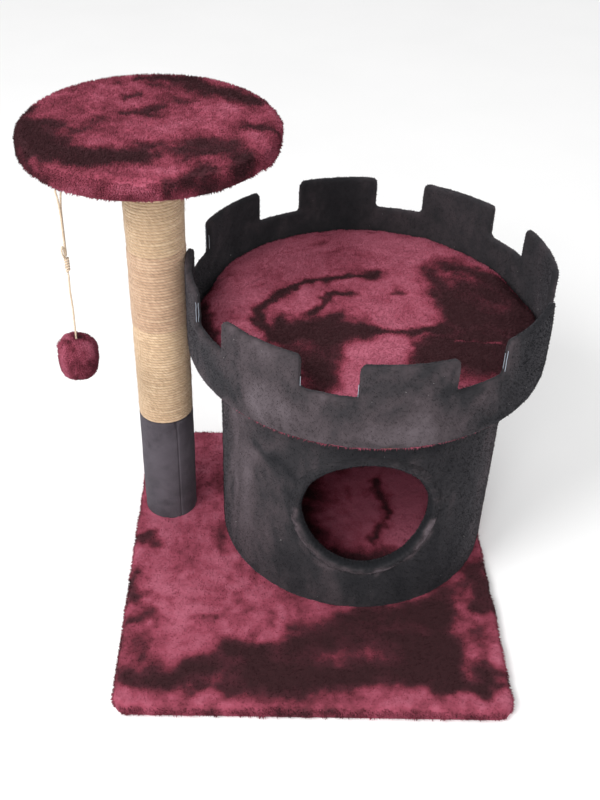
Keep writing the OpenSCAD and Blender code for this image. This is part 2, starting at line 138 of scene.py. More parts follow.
def twisted(name, line, width, height, lay, ply_depth, sides=12, plies=3, outward=None):
    """A twisted twine along a line. The lay is the length in which its plies go round once."""
    ahead = np.gradient(line, axis=0)
    ahead /= lengths(ahead)[:, None]
    if outward is None:
        side = np.zeros_like(line)
        last = np.cross(ahead[0], [0.3, 0.9, 0.1])
        for i, way in enumerate(ahead):
            last = last - way * last.dot(way)
            last /= np.linalg.norm(last)
            side[i] = last
    else:
        side = outward - ahead * (outward * ahead).sum(axis=1)[:, None]
        side /= lengths(side)[:, None]
    other = np.cross(ahead, side)
    far = far_along(line)
    angle = np.linspace(math.pi, 3 * math.pi, sides, endpoint=False)
    spun = angle[None, :] - math.tau * far[:, None] / lay
    reach = 1 - ply_depth * (1 - np.cos(plies * spun)) / 2
    points = (line[:, None] + side[:, None] * (np.cos(angle) * reach * width / 2)[..., None]
              + other[:, None] * (np.sin(angle) * reach * height / 2)[..., None])
    count = len(line)
    points = np.vstack([points.reshape(-1, 3), line[:1], line[-1:]])
    around = np.arange(sides)
    first = np.stack([(around + 1) % sides, around, np.full(sides, count * sides)], axis=1)
    last = np.stack([around, (around + 1) % sides, np.full(sides, 1)], axis=1) + (count - 1) * sides
    last[:, 2] = count * sides + 1
    piece = meshed(name, points, [grid_faces(count, sides, True)[:, ::-1], first[:, ::-1], last[:, ::-1]])
    mark(piece, "along", np.concatenate([np.repeat(far, sides), [0, far[-1]]]))
    mark(piece, "round", np.concatenate([(spun / math.tau).ravel(), [0, 0]]))
    return piece


def shader(name, roughness, **sockets):
    """A new material, its nodes, its shader and a function that links two sockets."""
    material = bpy.data.materials.new(name)
    material.use_nodes = True
    nodes = material.node_tree.nodes
    surface = nodes["Principled BSDF"]
    surface.inputs["Roughness"].default_value = roughness
    for socket, value in sockets.items():
        surface.inputs[socket.replace("_", " ")].default_value = value
    return material, nodes, surface, material.node_tree.links.new


def noise(nodes, link, vector, scale, detail=4, roughness=0.6):
    """A noise texture's value."""
    texture = nodes.new("ShaderNodeTexNoise")
    texture.inputs["Scale"].default_value = scale
    texture.inputs["Detail"].default_value = detail
    texture.inputs["Roughness"].default_value = roughness
    link(vector, texture.inputs["Vector"])
    return texture.outputs["Fac"]


def maths(nodes, link, work, a, b):
    """One sum, product or other work on two values or sockets."""
    node = nodes.new("ShaderNodeMath")
    node.operation = work
    for socket, value in zip(node.inputs, (a, b)):
        if isinstance(value, (int, float)):
            socket.default_value = value
        else:
            link(value, socket)
    return node.outputs[0]


def ramp(nodes, link, value, stops):
    """Colours along a value, as (place, colour) pairs."""
    node = nodes.new("ShaderNodeValToRGB")
    while len(node.color_ramp.elements) < len(stops):
        node.color_ramp.elements.new(0.5)
    for element, (place, colour) in zip(node.color_ramp.elements, stops):
        element.position = place
        element.color = (*colour, 1)
    link(value, node.inputs["Fac"])
    return node.outputs["Color"]


def bump(nodes, link, surface, height, distance, strength=1.0):
    node = nodes.new("ShaderNodeBump")
    node.inputs["Distance"].default_value = distance
    node.inputs["Strength"].default_value = strength
    link(height, node.inputs["Height"])
    link(node.outputs["Normal"], surface.inputs["Normal"])


def wear(piece, *materials):
    """Gives a piece its materials, in place of those it has."""
    piece.data.materials.clear()
    for material in materials:
        piece.data.materials.append(material)
    return piece


def fibre_twine(name, dark, middle, pale, streak, rough):
    """Twine of plant fibres: streaks that follow the plies, with a drift in tint along the length."""
    material, nodes, surface, link = shader(name, rough, Sheen_Weight=0.25, Sheen_Roughness=0.5)
    along, around = (nodes.new("ShaderNodeAttribute") for _ in range(2))
    along.attribute_name, around.attribute_name = "along", "round"
    place = nodes.new("ShaderNodeCombineXYZ")
    link(maths(nodes, link, "MULTIPLY", along.outputs["Fac"], 90.0), place.inputs[0])
    link(maths(nodes, link, "MULTIPLY", around.outputs["Fac"], streak), place.inputs[1])
    strands = noise(nodes, link, place.outputs[0], 1.0, 6, 0.7)
    slow = nodes.new("ShaderNodeCombineXYZ")
    link(maths(nodes, link, "MULTIPLY", along.outputs["Fac"], 9.0), slow.inputs[0])
    drifted = maths(nodes, link, "MULTIPLY_ADD", noise(nodes, link, slow.outputs[0], 1.0, 3), 0.45)
    drifted.node.inputs[2].default_value = -0.22
    tone = maths(nodes, link, "ADD", strands, drifted)
    link(ramp(nodes, link, tone, ((0.28, dark), (0.5, middle), (0.68, pale))), surface.inputs["Base Color"])
    bump(nodes, link, surface, strands, 0.0006, 0.8)
    return material


def stand(node):
    """Where a CAD node stands: its middle in plan, half its width, its lowest and its highest height."""
    low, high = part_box(node)
    return np.array([(low.x + high.x) / 2, (low.y + high.y) / 2]), (high.x - low.x) / 2, low.z, high.z


string_d = 0.0022
string_step = 0.0007
staple = stand("toy_staple")[0]
out_angle = math.radians(232)
loop_route = [
    [1.0, 0.8, 491.5], [1.0, 0.8, 500], [1.1, 0.8, 511], [1.2, 0.8, 522], [1.2, 0.8, 533],
    [1.3, 0.7, 543], [1.6, 0.5, 552], [2.4, 0.2, 561], [3.3, 0.1, 566.5], [3.9, 0, 569.4],
    [3.5, 0, 571.6], [2.2, 0, 573.2], [0, 0, 573.8], [-2.2, 0, 573.2], [-3.5, 0, 571.6],
    [-3.9, 0, 569.4], [-3.3, -0.1, 566.5], [-2.4, -0.2, 561], [-1.6, -0.5, 552],
    [-1.3, -0.7, 543], [-1.2, -0.8, 533], [-1.2, -0.8, 522], [-1.1, -0.8, 511],
    [-1.0, -0.8, 500], [-1.0, -0.8, 491.5]]
lower_route = [
    [0, 0, 468.2], [0, 0, 464], [0.2, 0.1, 459], [0.5, 0.2, 454], [0.7, 0.2, 449],
    [0.7, 0.3, 444], [0.5, 0.3, 439], [0.2, 0.2, 434], [-0.1, 0.1, 429], [-0.4, -0.1, 424],
    [-0.6, -0.2, 419], [-0.6, -0.3, 414], [-0.4, -0.2, 409], [-0.2, -0.1, 404], [0, 0, 399],
    [0, 0, 394], [0, 0, 390], [0, 0, 385], [0, 0, 375], [0, 0, 368], [0, 0, 362]]


def hung(route):
    """A route below the staple, from (outwards, sideways, height) in millimetres to metres."""
    out, side, height = np.array(route, float).T / 1000
    return np.stack([staple[0] + out * math.cos(out_angle) - side * math.sin(out_angle),
                     staple[1] + out * math.sin(out_angle) + side * math.cos(out_angle), height], axis=1)


cotton = fibre_twine("cotton_string", (0.3, 0.2, 0.13), (0.62, 0.48, 0.34), (0.82, 0.7, 0.54), 9.0, 0.85)
loop_line = smooth_run(hung(loop_route), string_step)
string_loop = wear(twisted("string_loop", loop_line, 1.1 * string_d, 1.1 * string_d, 0.008, 0.2), cotton)
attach(string_loop, "toy_loop")
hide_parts("toy_string_loop")

lower_line = smooth_run(hung(lower_route), string_step)
string_lower = wear(twisted("string_lower", lower_line, 1.1 * string_d, 1.1 * string_d, 0.008, 0.2), cotton)
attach(string_lower, "toy")
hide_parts("toy_string_lower")

wraps, wrap_r, knot_low, knot_high = 4.5, 2.1, 473.0, 488.0
knot_rise = (knot_high - knot_low) / (wraps * math.tau)
winding = [[wrap_r * math.cos(a), wrap_r * math.sin(a), knot_low + knot_rise * a]
           for a in np.linspace(0, wraps * math.tau, round(wraps * 16))]
ear = [[2.8, 0.4, 489.5], [4.6, 1.3, 492.5], [6.4, 1.8, 497], [6.9, 1.8, 502], [5.4, 1.6, 505.5],
       [3.9, 1.4, 503], [3.0, 1.1, 497], [1.8, 0.8, 490]]
tail = [[1.2, 0, 488], [0.8, 0.4, 484], [0.4, 0, 476], [0, 0, 470.5], [0, 0, 469.6]]
start = [[0.2, 0.2, 470.6], [1.2, 0.1, 471.2]]
knot_line = smooth_run(hung(start + winding + ear + tail), string_step)
knot = wear(twisted("string_knot", knot_line, string_d, string_d, 0.008, 0.3, sides=10), cotton)
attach(knot, "toy_loop")
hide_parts("toy_knot")


# ---- Base ----
# A fibreboard slab under burgundy plush. The plush is pulled over the edges and glued under the
# board as a hem, with dark felt inside it. Its pile lies in patches, as paws have brushed it.

def drift(points, size, seed):
    """Smooth random values from -1 to 1 that change over about the size, in metres."""
    lattice = np.random.default_rng(seed).uniform(-1, 1, (32, 32, 32))
    place = points / size + 64.37
    cell = np.floor(place).astype(int)
    share = place - cell
    share = share * share * (3 - 2 * share)
    total = np.zeros(len(points))
    for corner in np.ndindex(2, 2, 2):
        weight = np.where(corner, share, 1 - share).prod(axis=1)
        total += weight * lattice[tuple(((cell + corner) % 32).T)]
    return total


def drifts(points, size, *seeds):
    """Independent smooth random values, side by side."""
    return np.stack([drift(points, size, seed) for seed in seeds], axis=1)


def brushed(flat, strokes):
    """What the brush strokes add on a flat plan. A stroke is (points, width, change), in millimetres."""
    total = np.zeros(len(flat))
    for points, width, change in strokes:
        points, width = np.array(points, float) / 1000, width / 1000
        nearest = np.full(len(flat), np.inf)
        for a, b in zip(points, points[1:]):
            t = np.clip((flat - a) @ (b - a) / ((b - a) @ (b - a)), 0, 1)
            nearest = np.minimum(nearest, lengths(flat - a - t[:, None] * (b - a)))
        total += change * np.exp(-(nearest / width) ** 2)
    return total


def nap(points, seed, flat=None, strokes=(), level=0.68, swirl=0.16, patch=0.05):
    """How the pile lies: near 0 it leans away and looks dark, near 1 it faces up and looks light."""
    bent = points + 0.35 * patch * drifts(points, patch, seed, seed + 1, seed + 2)
    mottle = (drift(bent, patch, seed + 3) + 0.7 * drift(bent, 0.35 * patch, seed + 4)
              + 0.75 * drift(bent, 0.016, seed + 11) + 0.5 * drift(bent, 0.0075, seed + 5))
    value = level + swirl * mottle + 0.05 * drift(points, 0.0035, seed + 6)
    if len(strokes):
        wavy = flat + 0.009 * drifts(points, 0.028, seed + 7, seed + 8)
        value += brushed(wavy + 0.0045 * drifts(points, 0.0095, seed + 9, seed + 10), strokes)
    crisp = 0.5 + 0.5 * np.tanh(2.4 * (value - 0.5)) / math.tanh(1.2)
    return np.clip(crisp, 0, 1)


def points_of(piece):
    points = np.zeros(len(piece.data.vertices) * 3, np.float32)
    piece.data.vertices.foreach_get("co", points)
    return points.reshape(-1, 3).astype(float)


def normals_of(piece):
    normals = np.zeros(len(piece.data.vertices) * 3, np.float32)
    piece.data.vertex_normals.foreach_get("vector", normals)
    return normals.reshape(-1, 3).astype(float)


def move_to(piece, points):
    piece.data.vertices.foreach_set("co", np.asarray(points, np.float32).ravel())
    piece.data.update()


def raise_skin(piece, by, sides_only=False):
    """Moves a skin out along its normals, or only sideways."""
    normals = normals_of(piece) * [1, 1, not sides_only]
    move_to(piece, points_of(piece) + normals * by[:, None])


def fluff(piece, lie, depth, seed, mask=1.0):
    """Raises a plush skin into soft tufts, higher where the pile faces up."""
    points = points_of(piece)
    rise = depth * (0.8 * (lie - 0.5) + 0.5 * drift(points, 0.011, seed)
                    + 0.4 * drift(points, 0.0052, seed + 1))
    raise_skin(piece, rise * mask)
    mark(piece, "nap", lie)


def plush(name, colours, speck=0.12, sheen=0.06, tint=(0.7, 0.25, 0.35), fine=420.0, fuzz=0.9):
    """Pile fabric: its colour follows the nap value, the lie of the pile with painted light and shade added on
    some pieces, and fibre ends show as fine specks.
    """
    material, nodes, surface, link = shader(name, 0.95, Sheen_Weight=sheen, Sheen_Roughness=0.45,
                                            Sheen_Tint=(*tint, 1), Specular_IOR_Level=0.08)
    where = nodes.new("ShaderNodeTexCoord").outputs["Object"]
    lie = nodes.new("ShaderNodeAttribute")
    lie.attribute_name = "nap"
    ends = noise(nodes, link, where, fine, 3, 0.75)
    clumps = noise(nodes, link, where, 0.36 * fine, 3, 0.6)
    mixed = maths(nodes, link, "ADD", maths(nodes, link, "MULTIPLY", ends, 0.6),
                  maths(nodes, link, "MULTIPLY", clumps, 0.4))
    tone = maths(nodes, link, "ADD", lie.outputs["Fac"],
                 maths(nodes, link, "MULTIPLY", maths(nodes, link, "SUBTRACT", mixed, 0.5), speck * 4))
    link(ramp(nodes, link, tone, colours), surface.inputs["Base Color"])
    bump(nodes, link, surface, mixed, 0.0016, fuzz)
    return material


def dyes(name, colours, shades):
    """Plain fibre colours for tufts, from the darkest to the palest of a plush's colours."""
    places, values = np.array([c[0] for c in colours]), np.array([c[1] for c in colours])
    made = []
    for i in range(shades):
        colour = [float(np.interp((i + 0.5) / shades, places, values[:, k])) for k in range(3)]
        made.append(shader(f"{name}_{i + 1}", 0.9, Base_Color=(*colour, 1), Specular_IOR_Level=0.08)[0])
    return made


def pile(name, skin, dye, count, length, seed, lean=0.7, width=0.0011, keep=None, comb=None, body="root",
         mix=0.07):
    """Tufts that stand on a skin as thin closed spikes, combed one way in each patch."""
    random = np.random.default_rng(seed)
    mesh = skin.data
    mesh.calc_loop_triangles()
    triangles = np.zeros(len(mesh.loop_triangles) * 3, np.int32)
    mesh.loop_triangles.foreach_get("vertices", triangles)
    triangles = triangles.reshape(-1, 3)
    points, normals = points_of(skin), normals_of(skin)
    lie = np.zeros(len(points), np.float32)
    mesh.attributes["nap"].data.foreach_get("value", lie)
    if keep is not None:
        triangles = triangles[keep(points, normals)[triangles].all(axis=1)]
    a, b, c = (points[triangles[:, i]] for i in range(3))
    size = lengths(np.cross(b - a, c - a))
    pick = random.choice(len(size), count, p=size / size.sum())
    u, v = random.random((2, count, 1))
    u, v = np.where(u + v > 1, 1 - u, u), np.where(u + v > 1, 1 - v, v)
    chosen = triangles[pick]
    root = a[pick] + u * (b[pick] - a[pick]) + v * (c[pick] - a[pick])
    normal = sum(w * normals[chosen[:, i]] for i, w in enumerate((1 - u - v, u, v)))
    normal /= lengths(normal)[:, None]
    tone = lie[chosen].mean(axis=1)
    way = drifts(root, 0.05, seed + 1, seed + 2, seed + 3)
    way += 0.45 * random.normal(size=(count, 3))
    if comb is not None:
        way += comb(root)
    way -= normal * (way * normal).sum(axis=1)[:, None]
    tall = length * random.uniform(0.55, 1.15, count)[:, None]
    tip = normal + way * lean * random.uniform(0.5, 1.4, count)[:, None]
    tip = root + tall * tip / lengths(tip)[:, None]
    across = np.cross(normal, tip - root)
    across /= lengths(across)[:, None] + 1e-9
    beside = np.cross(normal, across)
    spun = random.uniform(0, math.tau, count)
    foot = root - normal * 0.0006
    corners = []
    for i in range(3):
        angle = (spun + i * math.tau / 3)[:, None]
        corners.append(foot + width * random.uniform(0.7, 1.2, (count, 1))
                       * (across * np.cos(angle) + beside * np.sin(angle)))
    spikes = np.stack([*corners, tip], axis=1).reshape(-1, 3)
    first = 4 * np.arange(count)[:, None]
    faces = np.concatenate([first + f for f in ([0, 1, 3], [1, 2, 3], [2, 0, 3], [2, 1, 0])])
    tufts = wear(meshed(name, spikes, faces), *dye)
    shade = tone + mix * random.normal(size=count)
    shade = np.clip((shade * len(dye)).astype(int), 0, len(dye) - 1)
    tufts.data.polygons.foreach_set("material_index", np.tile(shade, 4).astype(np.int32))
    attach(tufts, body)
    return tufts


burgundy_colours = ((0.0, (0.032, 0.0125, 0.0145)), (0.28, (0.06, 0.0175, 0.0235)),
                    (0.5, (0.14, 0.028, 0.042)), (0.75, (0.27, 0.055, 0.087)), (1.0, (0.4, 0.11, 0.162)))
burgundy = plush("burgundy_plush", burgundy_colours)
burgundy_dyes = dyes("burgundy_fibre", burgundy_colours, 8)

base_low, base_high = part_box("base_cover")
half_x, half_y = (base_high.x - base_low.x) / 2, (base_high.y - base_low.y) / 2
base_top = base_high.z
corner_r, edge_r, plush_t = 0.018, 0.007, 0.003
hem_w, hem_t = 0.03, 0.002
cell = 0.0025
inner_x, inner_y, inner_r = half_x - edge_r, half_y - edge_r, corner_r - edge_r
columns, rows = round(2 * inner_x / cell), round(2 * inner_y / cell)
x, y = np.meshgrid(np.linspace(-inner_x, inner_x, columns), np.linspace(-inner_y, inner_y, rows))
past_x, past_y = (np.clip((abs(along) - inner + inner_r) / inner_r, 0, 1)
                  for along, inner in ((x, inner_x), (y, inner_y)))
both = (past_x > 0) & (past_y > 0)
x = np.where(both, np.sign(x) * (inner_x - inner_r + inner_r * past_x * np.sqrt(1 - past_y ** 2 / 2)), x)
y = np.where(both, np.sign(y) * (inner_y - inner_r + inner_r * past_y * np.sqrt(1 - past_x ** 2 / 2)), y)
top = np.stack([x, y, np.full_like(x, base_top)], axis=-1)
rim_index = np.concatenate([np.arange(columns - 1), np.arange(rows - 1) * columns + columns - 1,
                            rows * columns - 1 - np.arange(columns - 1),
                            (rows - 1 - np.arange(rows - 1)) * columns])
rim = top.reshape(-1, 3)[rim_index]
arc_limit = np.array([inner_x - inner_r, inner_y - inner_r])
outward = rim[:, :2] - np.clip(rim[:, :2], -arc_limit, arc_limit)
outward /= lengths(outward)[:, None]
shoulder = [(edge_r * math.sin(a), base_top - edge_r * (1 - math.cos(a)))
            for a in np.radians([20, 40, 60, 76, 90])]
side = [(edge_r, z) for z in np.linspace(base_top - edge_r, 0.002, 6)[1:]]
rings = [np.column_stack([rim[:, :2] + outward * d, np.full(len(rim), z)]) for d, z in shoulder + side]
rings.append(np.column_stack([rim[:, :2] + outward * (edge_r - 0.0015), np.zeros(len(rim))]))
outer_rings = len(rings)
in_hem = 1 - (hem_w - edge_r) / np.array([inner_x, inner_y])
in_board = 1 - (plush_t - edge_r) / np.array([inner_x, inner_y])
for share, z in ((in_hem, 0.0), (in_hem, hem_t), (in_board, hem_t), (in_board, base_top - plush_t)):
    rings.append(np.column_stack([rim[:, :2] * share, np.full(len(rim), z)]))
start = rows * columns
count = len(rim)
around = np.arange(count)
beside = (around + 1) % count
faces = [grid_faces(rows, columns, False),
         np.stack([rim_index[around], start + around, start + beside, rim_index[beside]], axis=1),
         start + grid_faces(len(rings), count, True)[:, ::-1]]
last_ring = start + (len(rings) - 1) * count
middle = start + len(rings) * count
faces.append(np.stack([last_ring + around, np.full(count, middle), last_ring + beside], axis=1)[:, ::-1])
base = meshed("base_plush", np.vstack([top.reshape(-1, 3), *rings, [[0, 0, base_top - plush_t]]]), faces)
shown = np.zeros(middle + 1)
shown[:start + (outer_rings - 2) * count] = 1

# Strokes of the brush: each is the points it passes, its half width, and how much lighter it leaves the pile.
base_strokes = [
    (((-224, 27), (-214, 6)), 9, -0.4), (((-234, -54), (-224, -82)), 9, -0.35),
    (((-227, -119), (-207, -114)), 10, -0.4), (((-154, -122), (-126, -121)), 8, -0.3),
    (((-222, -222), (-177, -217), (-152, -198), (-123, -190)), 14, -0.5),
    (((-144, -228), (-111, -232)), 12, -0.35), (((-97, -164), (-63, -176)), 15, -0.5),
    (((-200, -205), (-110, -214)), 26, -0.26), (((-100, -164), (-25, -170)), 19, -0.35),
    (((166, -118), (172, -214)), 24, -0.45), (((216, -140), (224, -212)), 13, -0.4),
    (((166, -92), (200, -62)), 14, -0.35), (((150, -230), (212, -222)), 10, -0.25),
    (((-76, -209), (36, -211), (151, -201)), 26, -0.7), (((-9, -150), (72, -152), (155, -168)), 26, -0.6),
    (((40, -116), (163, -107)), 18, -0.5), (((173, -159), (176, -216)), 15, -0.45),
    (((226, -30), (222, -92)), 15, -0.5), (((215, -198), (210, -223)), 12, -0.5),
    (((-130, 45), (-124, -7)), 10, -0.35), (((-190, -60), (-170, -90)), 30, 0.15)]
points = points_of(base)
lie = nap(points, 11, points[:, :2], base_strokes)
edge = np.clip((np.maximum(abs(points[:, 0]) - half_x, abs(points[:, 1]) - half_y) + 0.004) / 0.004, 0, 1)
lie = np.clip(lie - 0.12 * edge, 0, 1)
fluff(base, lie, 0.0012, 21, shown)
points = points_of(base)
wave = 0.0008 + 0.0013 * drift(points, 0.03, 25) + 0.0013 * drift(points, 0.011, 26)
raise_skin(base, edge * shown * wave, sides_only=True)
wear(base, burgundy)
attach(base, "root")
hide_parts("base_cover")


def on_base_top(points, normals):
    return (points[:, 2] > base_top - 0.004) & (normals[:, 2] > 0.6)


def on_base_edge(points, normals):
    return (points[:, 2] > 0.002) & (normals[:, 2] < 0.75) & (normals[:, 2] > -0.3) & (edge > 0)


def droop(points):
    return np.tile([0.0, 0.0, -0.5], (len(points), 1))


pile("base_pile", base, burgundy_dyes, 48000, 0.0022, 31, keep=on_base_top)
pile("base_edge_pile", base, burgundy_dyes, 14000, 0.0036, 33, keep=on_base_edge, comb=droop)


# ---- Boards, felt, cardboard, wood and metal ----
# These pieces keep the shapes they were made with. Boards are raw fibreboard, the tubes are
# wound cardboard, the felt is glued on, and every bolt, nail and nut is zinc-plated steel.

def grain(name, dark, pale, stretch, scale, roughness, depth, metallic=0.0):
    """A finish with streaks or specks. The stretch makes the specks longer along an axis."""
    material, nodes, surface, link = shader(name, roughness, Metallic=metallic)
    mapping = nodes.new("ShaderNodeMapping")
    mapping.inputs["Scale"].default_value = stretch
    link(nodes.new("ShaderNodeTexCoord").outputs["Object"], mapping.inputs["Vector"])
    value = noise(nodes, link, mapping.outputs["Vector"], scale, 8, 0.65)
    link(ramp(nodes, link, value, ((0.3, dark), (0.7, pale))), surface.inputs["Base Color"])
    bump(nodes, link, surface, value, depth)
    return material


finishes = {
    "board": grain("fibreboard", (0.36, 0.24, 0.13), (0.55, 0.4, 0.24), (1, 1, 2), 700.0, 0.85, 0.0003),
    "felt_dark": grain("felt", (0.012, 0.012, 0.014), (0.05, 0.05, 0.055), (1, 1, 1), 900.0, 1.0, 0.0006),
    "cardboard": grain("cardboard", (0.25, 0.17, 0.1), (0.42, 0.3, 0.19), (1, 1, 3), 300.0, 0.9, 0.0002),
    "turned_wood": grain("turned_pine", (0.4, 0.24, 0.11), (0.66, 0.48, 0.29), (6, 6, 1), 60.0, 0.6, 0.0002),
    "zinc": grain("zinc_plate", (0.42, 0.43, 0.46), (0.62, 0.63, 0.66), (1, 1, 1), 350.0, 0.32, 0.00005, 1.0),
    "wadding": grain("wadding", (0.7, 0.69, 0.65), (0.85, 0.84, 0.8), (1, 1, 1), 500.0, 1.0, 0.0006),
    "foam": grain("foam", (0.7, 0.66, 0.5), (0.86, 0.83, 0.7), (1, 1, 1), 1400.0, 1.0, 0.0004),
    "hardboard": grain("hardboard", (0.1, 0.055, 0.025), (0.27, 0.16, 0.08), (1, 1, 1), 600.0, 0.7, 0.0002)}
for subpart in frame["record"]["subparts"]:
    if subpart["material_slot"] in finishes:
        wear(frame["nodes"][subpart["node"]], finishes[subpart["material_slot"]])


# ---- Post sleeve ----
# A strip of smooth charcoal cloth glued round the foot of the cardboard tube. Its ends meet in
# a butt seam at the front right, and the seam opens a little at the top.

def tube_angles(columns):
    return np.linspace(0, math.tau, columns, endpoint=False)


def band(one, other):
    """Faces between two closed rows, given as point numbers."""
    return np.stack([one, np.roll(one, -1), np.roll(other, -1), other], axis=1)


post_at, sleeve_r, sleeve_low, sleeve_high = stand("post_sleeve")
tube_r = stand("post_tube")[1]
sleeve_seam = math.radians(-62)
columns, rows = 300, 110
angle, height = np.meshgrid(tube_angles(columns), np.linspace(sleeve_low, sleeve_high, rows))
radial = np.stack([np.cos(angle), np.sin(angle), np.zeros_like(angle)], axis=-1).reshape(-1, 3)
centre = np.column_stack([np.tile(post_at, (angle.size, 1)), height.ravel()])
on_sleeve = centre + radial * sleeve_r
folds = 0.0005 * drift(on_sleeve, 0.05, 41) + 0.00025 * drift(on_sleeve, 0.012, 42)
off_seam = (angle.ravel() - sleeve_seam + math.pi) % math.tau - math.pi
seam_opens, edge_rounds = 0.012, 0.003
open_top = np.clip((height.ravel() - sleeve_high + seam_opens) / seam_opens, 0, 1)
seam_w = (0.0009 + 0.0022 * open_top) / sleeve_r
folds -= (0.0011 + 0.002 * open_top) * np.exp(-(off_seam / seam_w) ** 2)
round_over = np.clip((height.ravel() - sleeve_high + edge_rounds) / edge_rounds, 0, 1)
folds -= 0.0016 * round_over ** 2
outer = centre + radial * (sleeve_r - 0.0004 + folds)[:, None]
inner = centre + radial * (tube_r + 0.0002)
points = np.vstack([outer, inner.reshape(rows, columns, 3)[[-1, 0]].reshape(-1, 3)])
first_row = np.arange(columns)
top_edge = [first_row + row * columns for row in (rows - 1, rows, rows + 1)]
closing = [band(one, other) for one, other in zip(top_edge, [*top_edge[1:], first_row])]
sleeve = meshed("post_sleeve_cloth", points, [grid_faces(rows, columns, True), *closing])
# Painted light and shade: the sleeve's colour is made lighter on its right side and darker on its left,
# against the fall of the key lamp.
painted_light_to_the_right = (points[:, 0] - post_at[0]) / sleeve_r
mark(sleeve, "nap", np.clip(nap(points, 43, level=0.64, swirl=0.18) + 0.22 * painted_light_to_the_right, 0, 1))
sleeve_colours = ((0.0, (0.032, 0.028, 0.032)), (0.5, (0.066, 0.058, 0.068)), (1.0, (0.1, 0.088, 0.102)))
wear(sleeve, plush("sleeve_cloth", sleeve_colours, speck=0.14, sheen=0.1, tint=(0.8, 0.74, 0.85), fine=800.0))
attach(sleeve, "root")
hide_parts("post_sleeve")


# ---- Sisal ----
# Three lengths of sisal twine, three plies each, wound tight on the tube with glue. The middle
# length comes from a browner ball. Loose fibres stand out of the twine everywhere.

sisal_pitch, sisal_lay = 0.0041, 0.014
sisal_deep, sisal_high = 0.0042, 0.0047
sisal_step = 0.002
sisal_tucked = 0.0026
back_left = 0.4  # of a turn: where the lengths meet, out of sight from the front
strays_per_turn = 26
sisal_bottom, sisal_top = stand("sisal_lower")[2], stand("sisal_upper")[3]
loose_fibre = [shader(f"loose_sisal_{i + 1}", 0.8, Base_Color=(*colour, 1))[0]
               for i, colour in enumerate(((0.72, 0.56, 0.38), (0.5, 0.35, 0.22)))]


def wound(node, name, colours, seed, radius_off):
    """Twine wound up the post over a CAD node's height, in one helix with the lengths below and above."""
    outer_r, low, high = stand(node)[1:]
    outer_r += radius_off
    flare = 0.0018 * (node == "sisal_upper")
    climb = np.clip([low, high], sisal_bottom + sisal_tucked, sisal_top - sisal_tucked) - sisal_bottom
    first, last = (np.floor(climb / sisal_pitch) + back_left) * math.tau
    turns = (last - first) / math.tau
    angle = np.arange(first, last, sisal_step / outer_r)
    line = np.column_stack([np.cos(angle), np.sin(angle), angle / math.tau * sisal_pitch])
    line[:, :2] *= (outer_r - sisal_deep / 2 + flare * np.linspace(0, 1, len(line)))[:, None]
    line += [*post_at, sisal_bottom]
    line[:, 2] += 0.00038 * drift(line * [1, 1, 0.3], 0.03, seed)
    push = 0.0003 * drift(line, 0.014, seed + 1)
    outward = np.column_stack([np.cos(angle), np.sin(angle), np.zeros_like(angle)])
    piece = twisted(name, line + outward * push[:, None], sisal_deep, sisal_high, sisal_lay, 0.2, sides=10,
                    outward=outward)
    wear(piece, fibre_twine(f"{name}_twine", *colours, 7.0, 0.9))
    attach(piece, "root")
    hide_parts(node)
    random = np.random.default_rng(seed)
    pick = random.choice(len(line) - 12, round(turns * strays_per_turn)) + 6
    root = line[pick] + outward[pick] * sisal_deep * 0.42
    along = (line[pick + 3] - line[pick - 3]) * random.choice([-1, 1], len(pick))[:, None]
    along /= lengths(along)[:, None]
    rise = outward[pick] * random.uniform(0.05, 0.5, len(pick))[:, None]
    rise = rise + [0, 0, 1] * random.normal(0, 0.3, (len(pick), 1))
    reach = random.uniform(0.003, 0.009, (len(pick), 1))
    hairs = []
    for share in (0.0, 0.5, 1.0):
        spot = root + reach * (share * along + share ** 1.6 * rise)
        thick = 0.00016 * (1.1 - share)
        hairs += [spot + thick * np.array(way) for way in ((0, 0, 1), (0.8, 0.3, -0.6), (-0.8, -0.3, -0.6))]
    hairs = np.stack(hairs, axis=1).reshape(-1, 3)
    first = 9 * np.arange(len(pick))[:, None]
    walls = [[s + a, s + b, s + 3 + b, s + 3 + a] for s in (0, 3) for a, b in ((0, 1), (1, 2), (2, 0))]
    strays = meshed(f"{name}_strays", hairs, [np.concatenate([first + f for f in walls]),
                                             np.concatenate([first + f for f in ([2, 1, 0], [6, 7, 8])])])
    wear(strays, *loose_fibre)
    fibre_of_face = np.tile(np.arange(len(pick)) % len(loose_fibre), 8)
    strays.data.polygons.foreach_set("material_index", fibre_of_face.astype(np.int32))
    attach(strays, "root")


straw = ((0.29, 0.185, 0.108), (0.55, 0.38, 0.235), (0.73, 0.57, 0.385))
brown = ((0.24, 0.14, 0.085), (0.48, 0.31, 0.2), (0.65, 0.47, 0.32))
wound("sisal_lower", "sisal_rope_lower", straw, 51, 0.0)
wound("sisal_middle", "sisal_rope_middle", brown, 52, 0.0003)
wound("sisal_upper", "sisal_rope_upper", straw, 53, -0.0002)


# ---- Perch ----
# A round fibreboard platform with a thin layer of wadding under burgundy plush. The plush is
# pulled round the edge and glued below as a hem, with felt inside it. Its rim is thick and ragged.

def turned(name, profile, centre, columns):
    """A closed round piece from its profile, as (radius, height) pairs from the axis back to the axis."""
    angle = tube_angles(columns)
    way = np.column_stack([np.cos(angle), np.sin(angle)])
    rings = [np.column_stack([centre + r * way, np.full(columns, z)]) for r, z in profile[1:-1]]
    count = len(rings) * columns
    ends = [[*centre, profile[0][1]], [*centre, profile[-1][1]]]
    around = np.arange(columns)
    beside = (around + 1) % columns
    first = np.stack([np.full(columns, count), around, beside], axis=1)
    last = np.stack([count - columns + beside, count - columns + around, np.full(columns, count + 1)], axis=1)
    walls = grid_faces(len(rings), columns, True)[:, ::-1]
    return meshed(name, np.vstack([*rings, ends]), [walls, first, last])


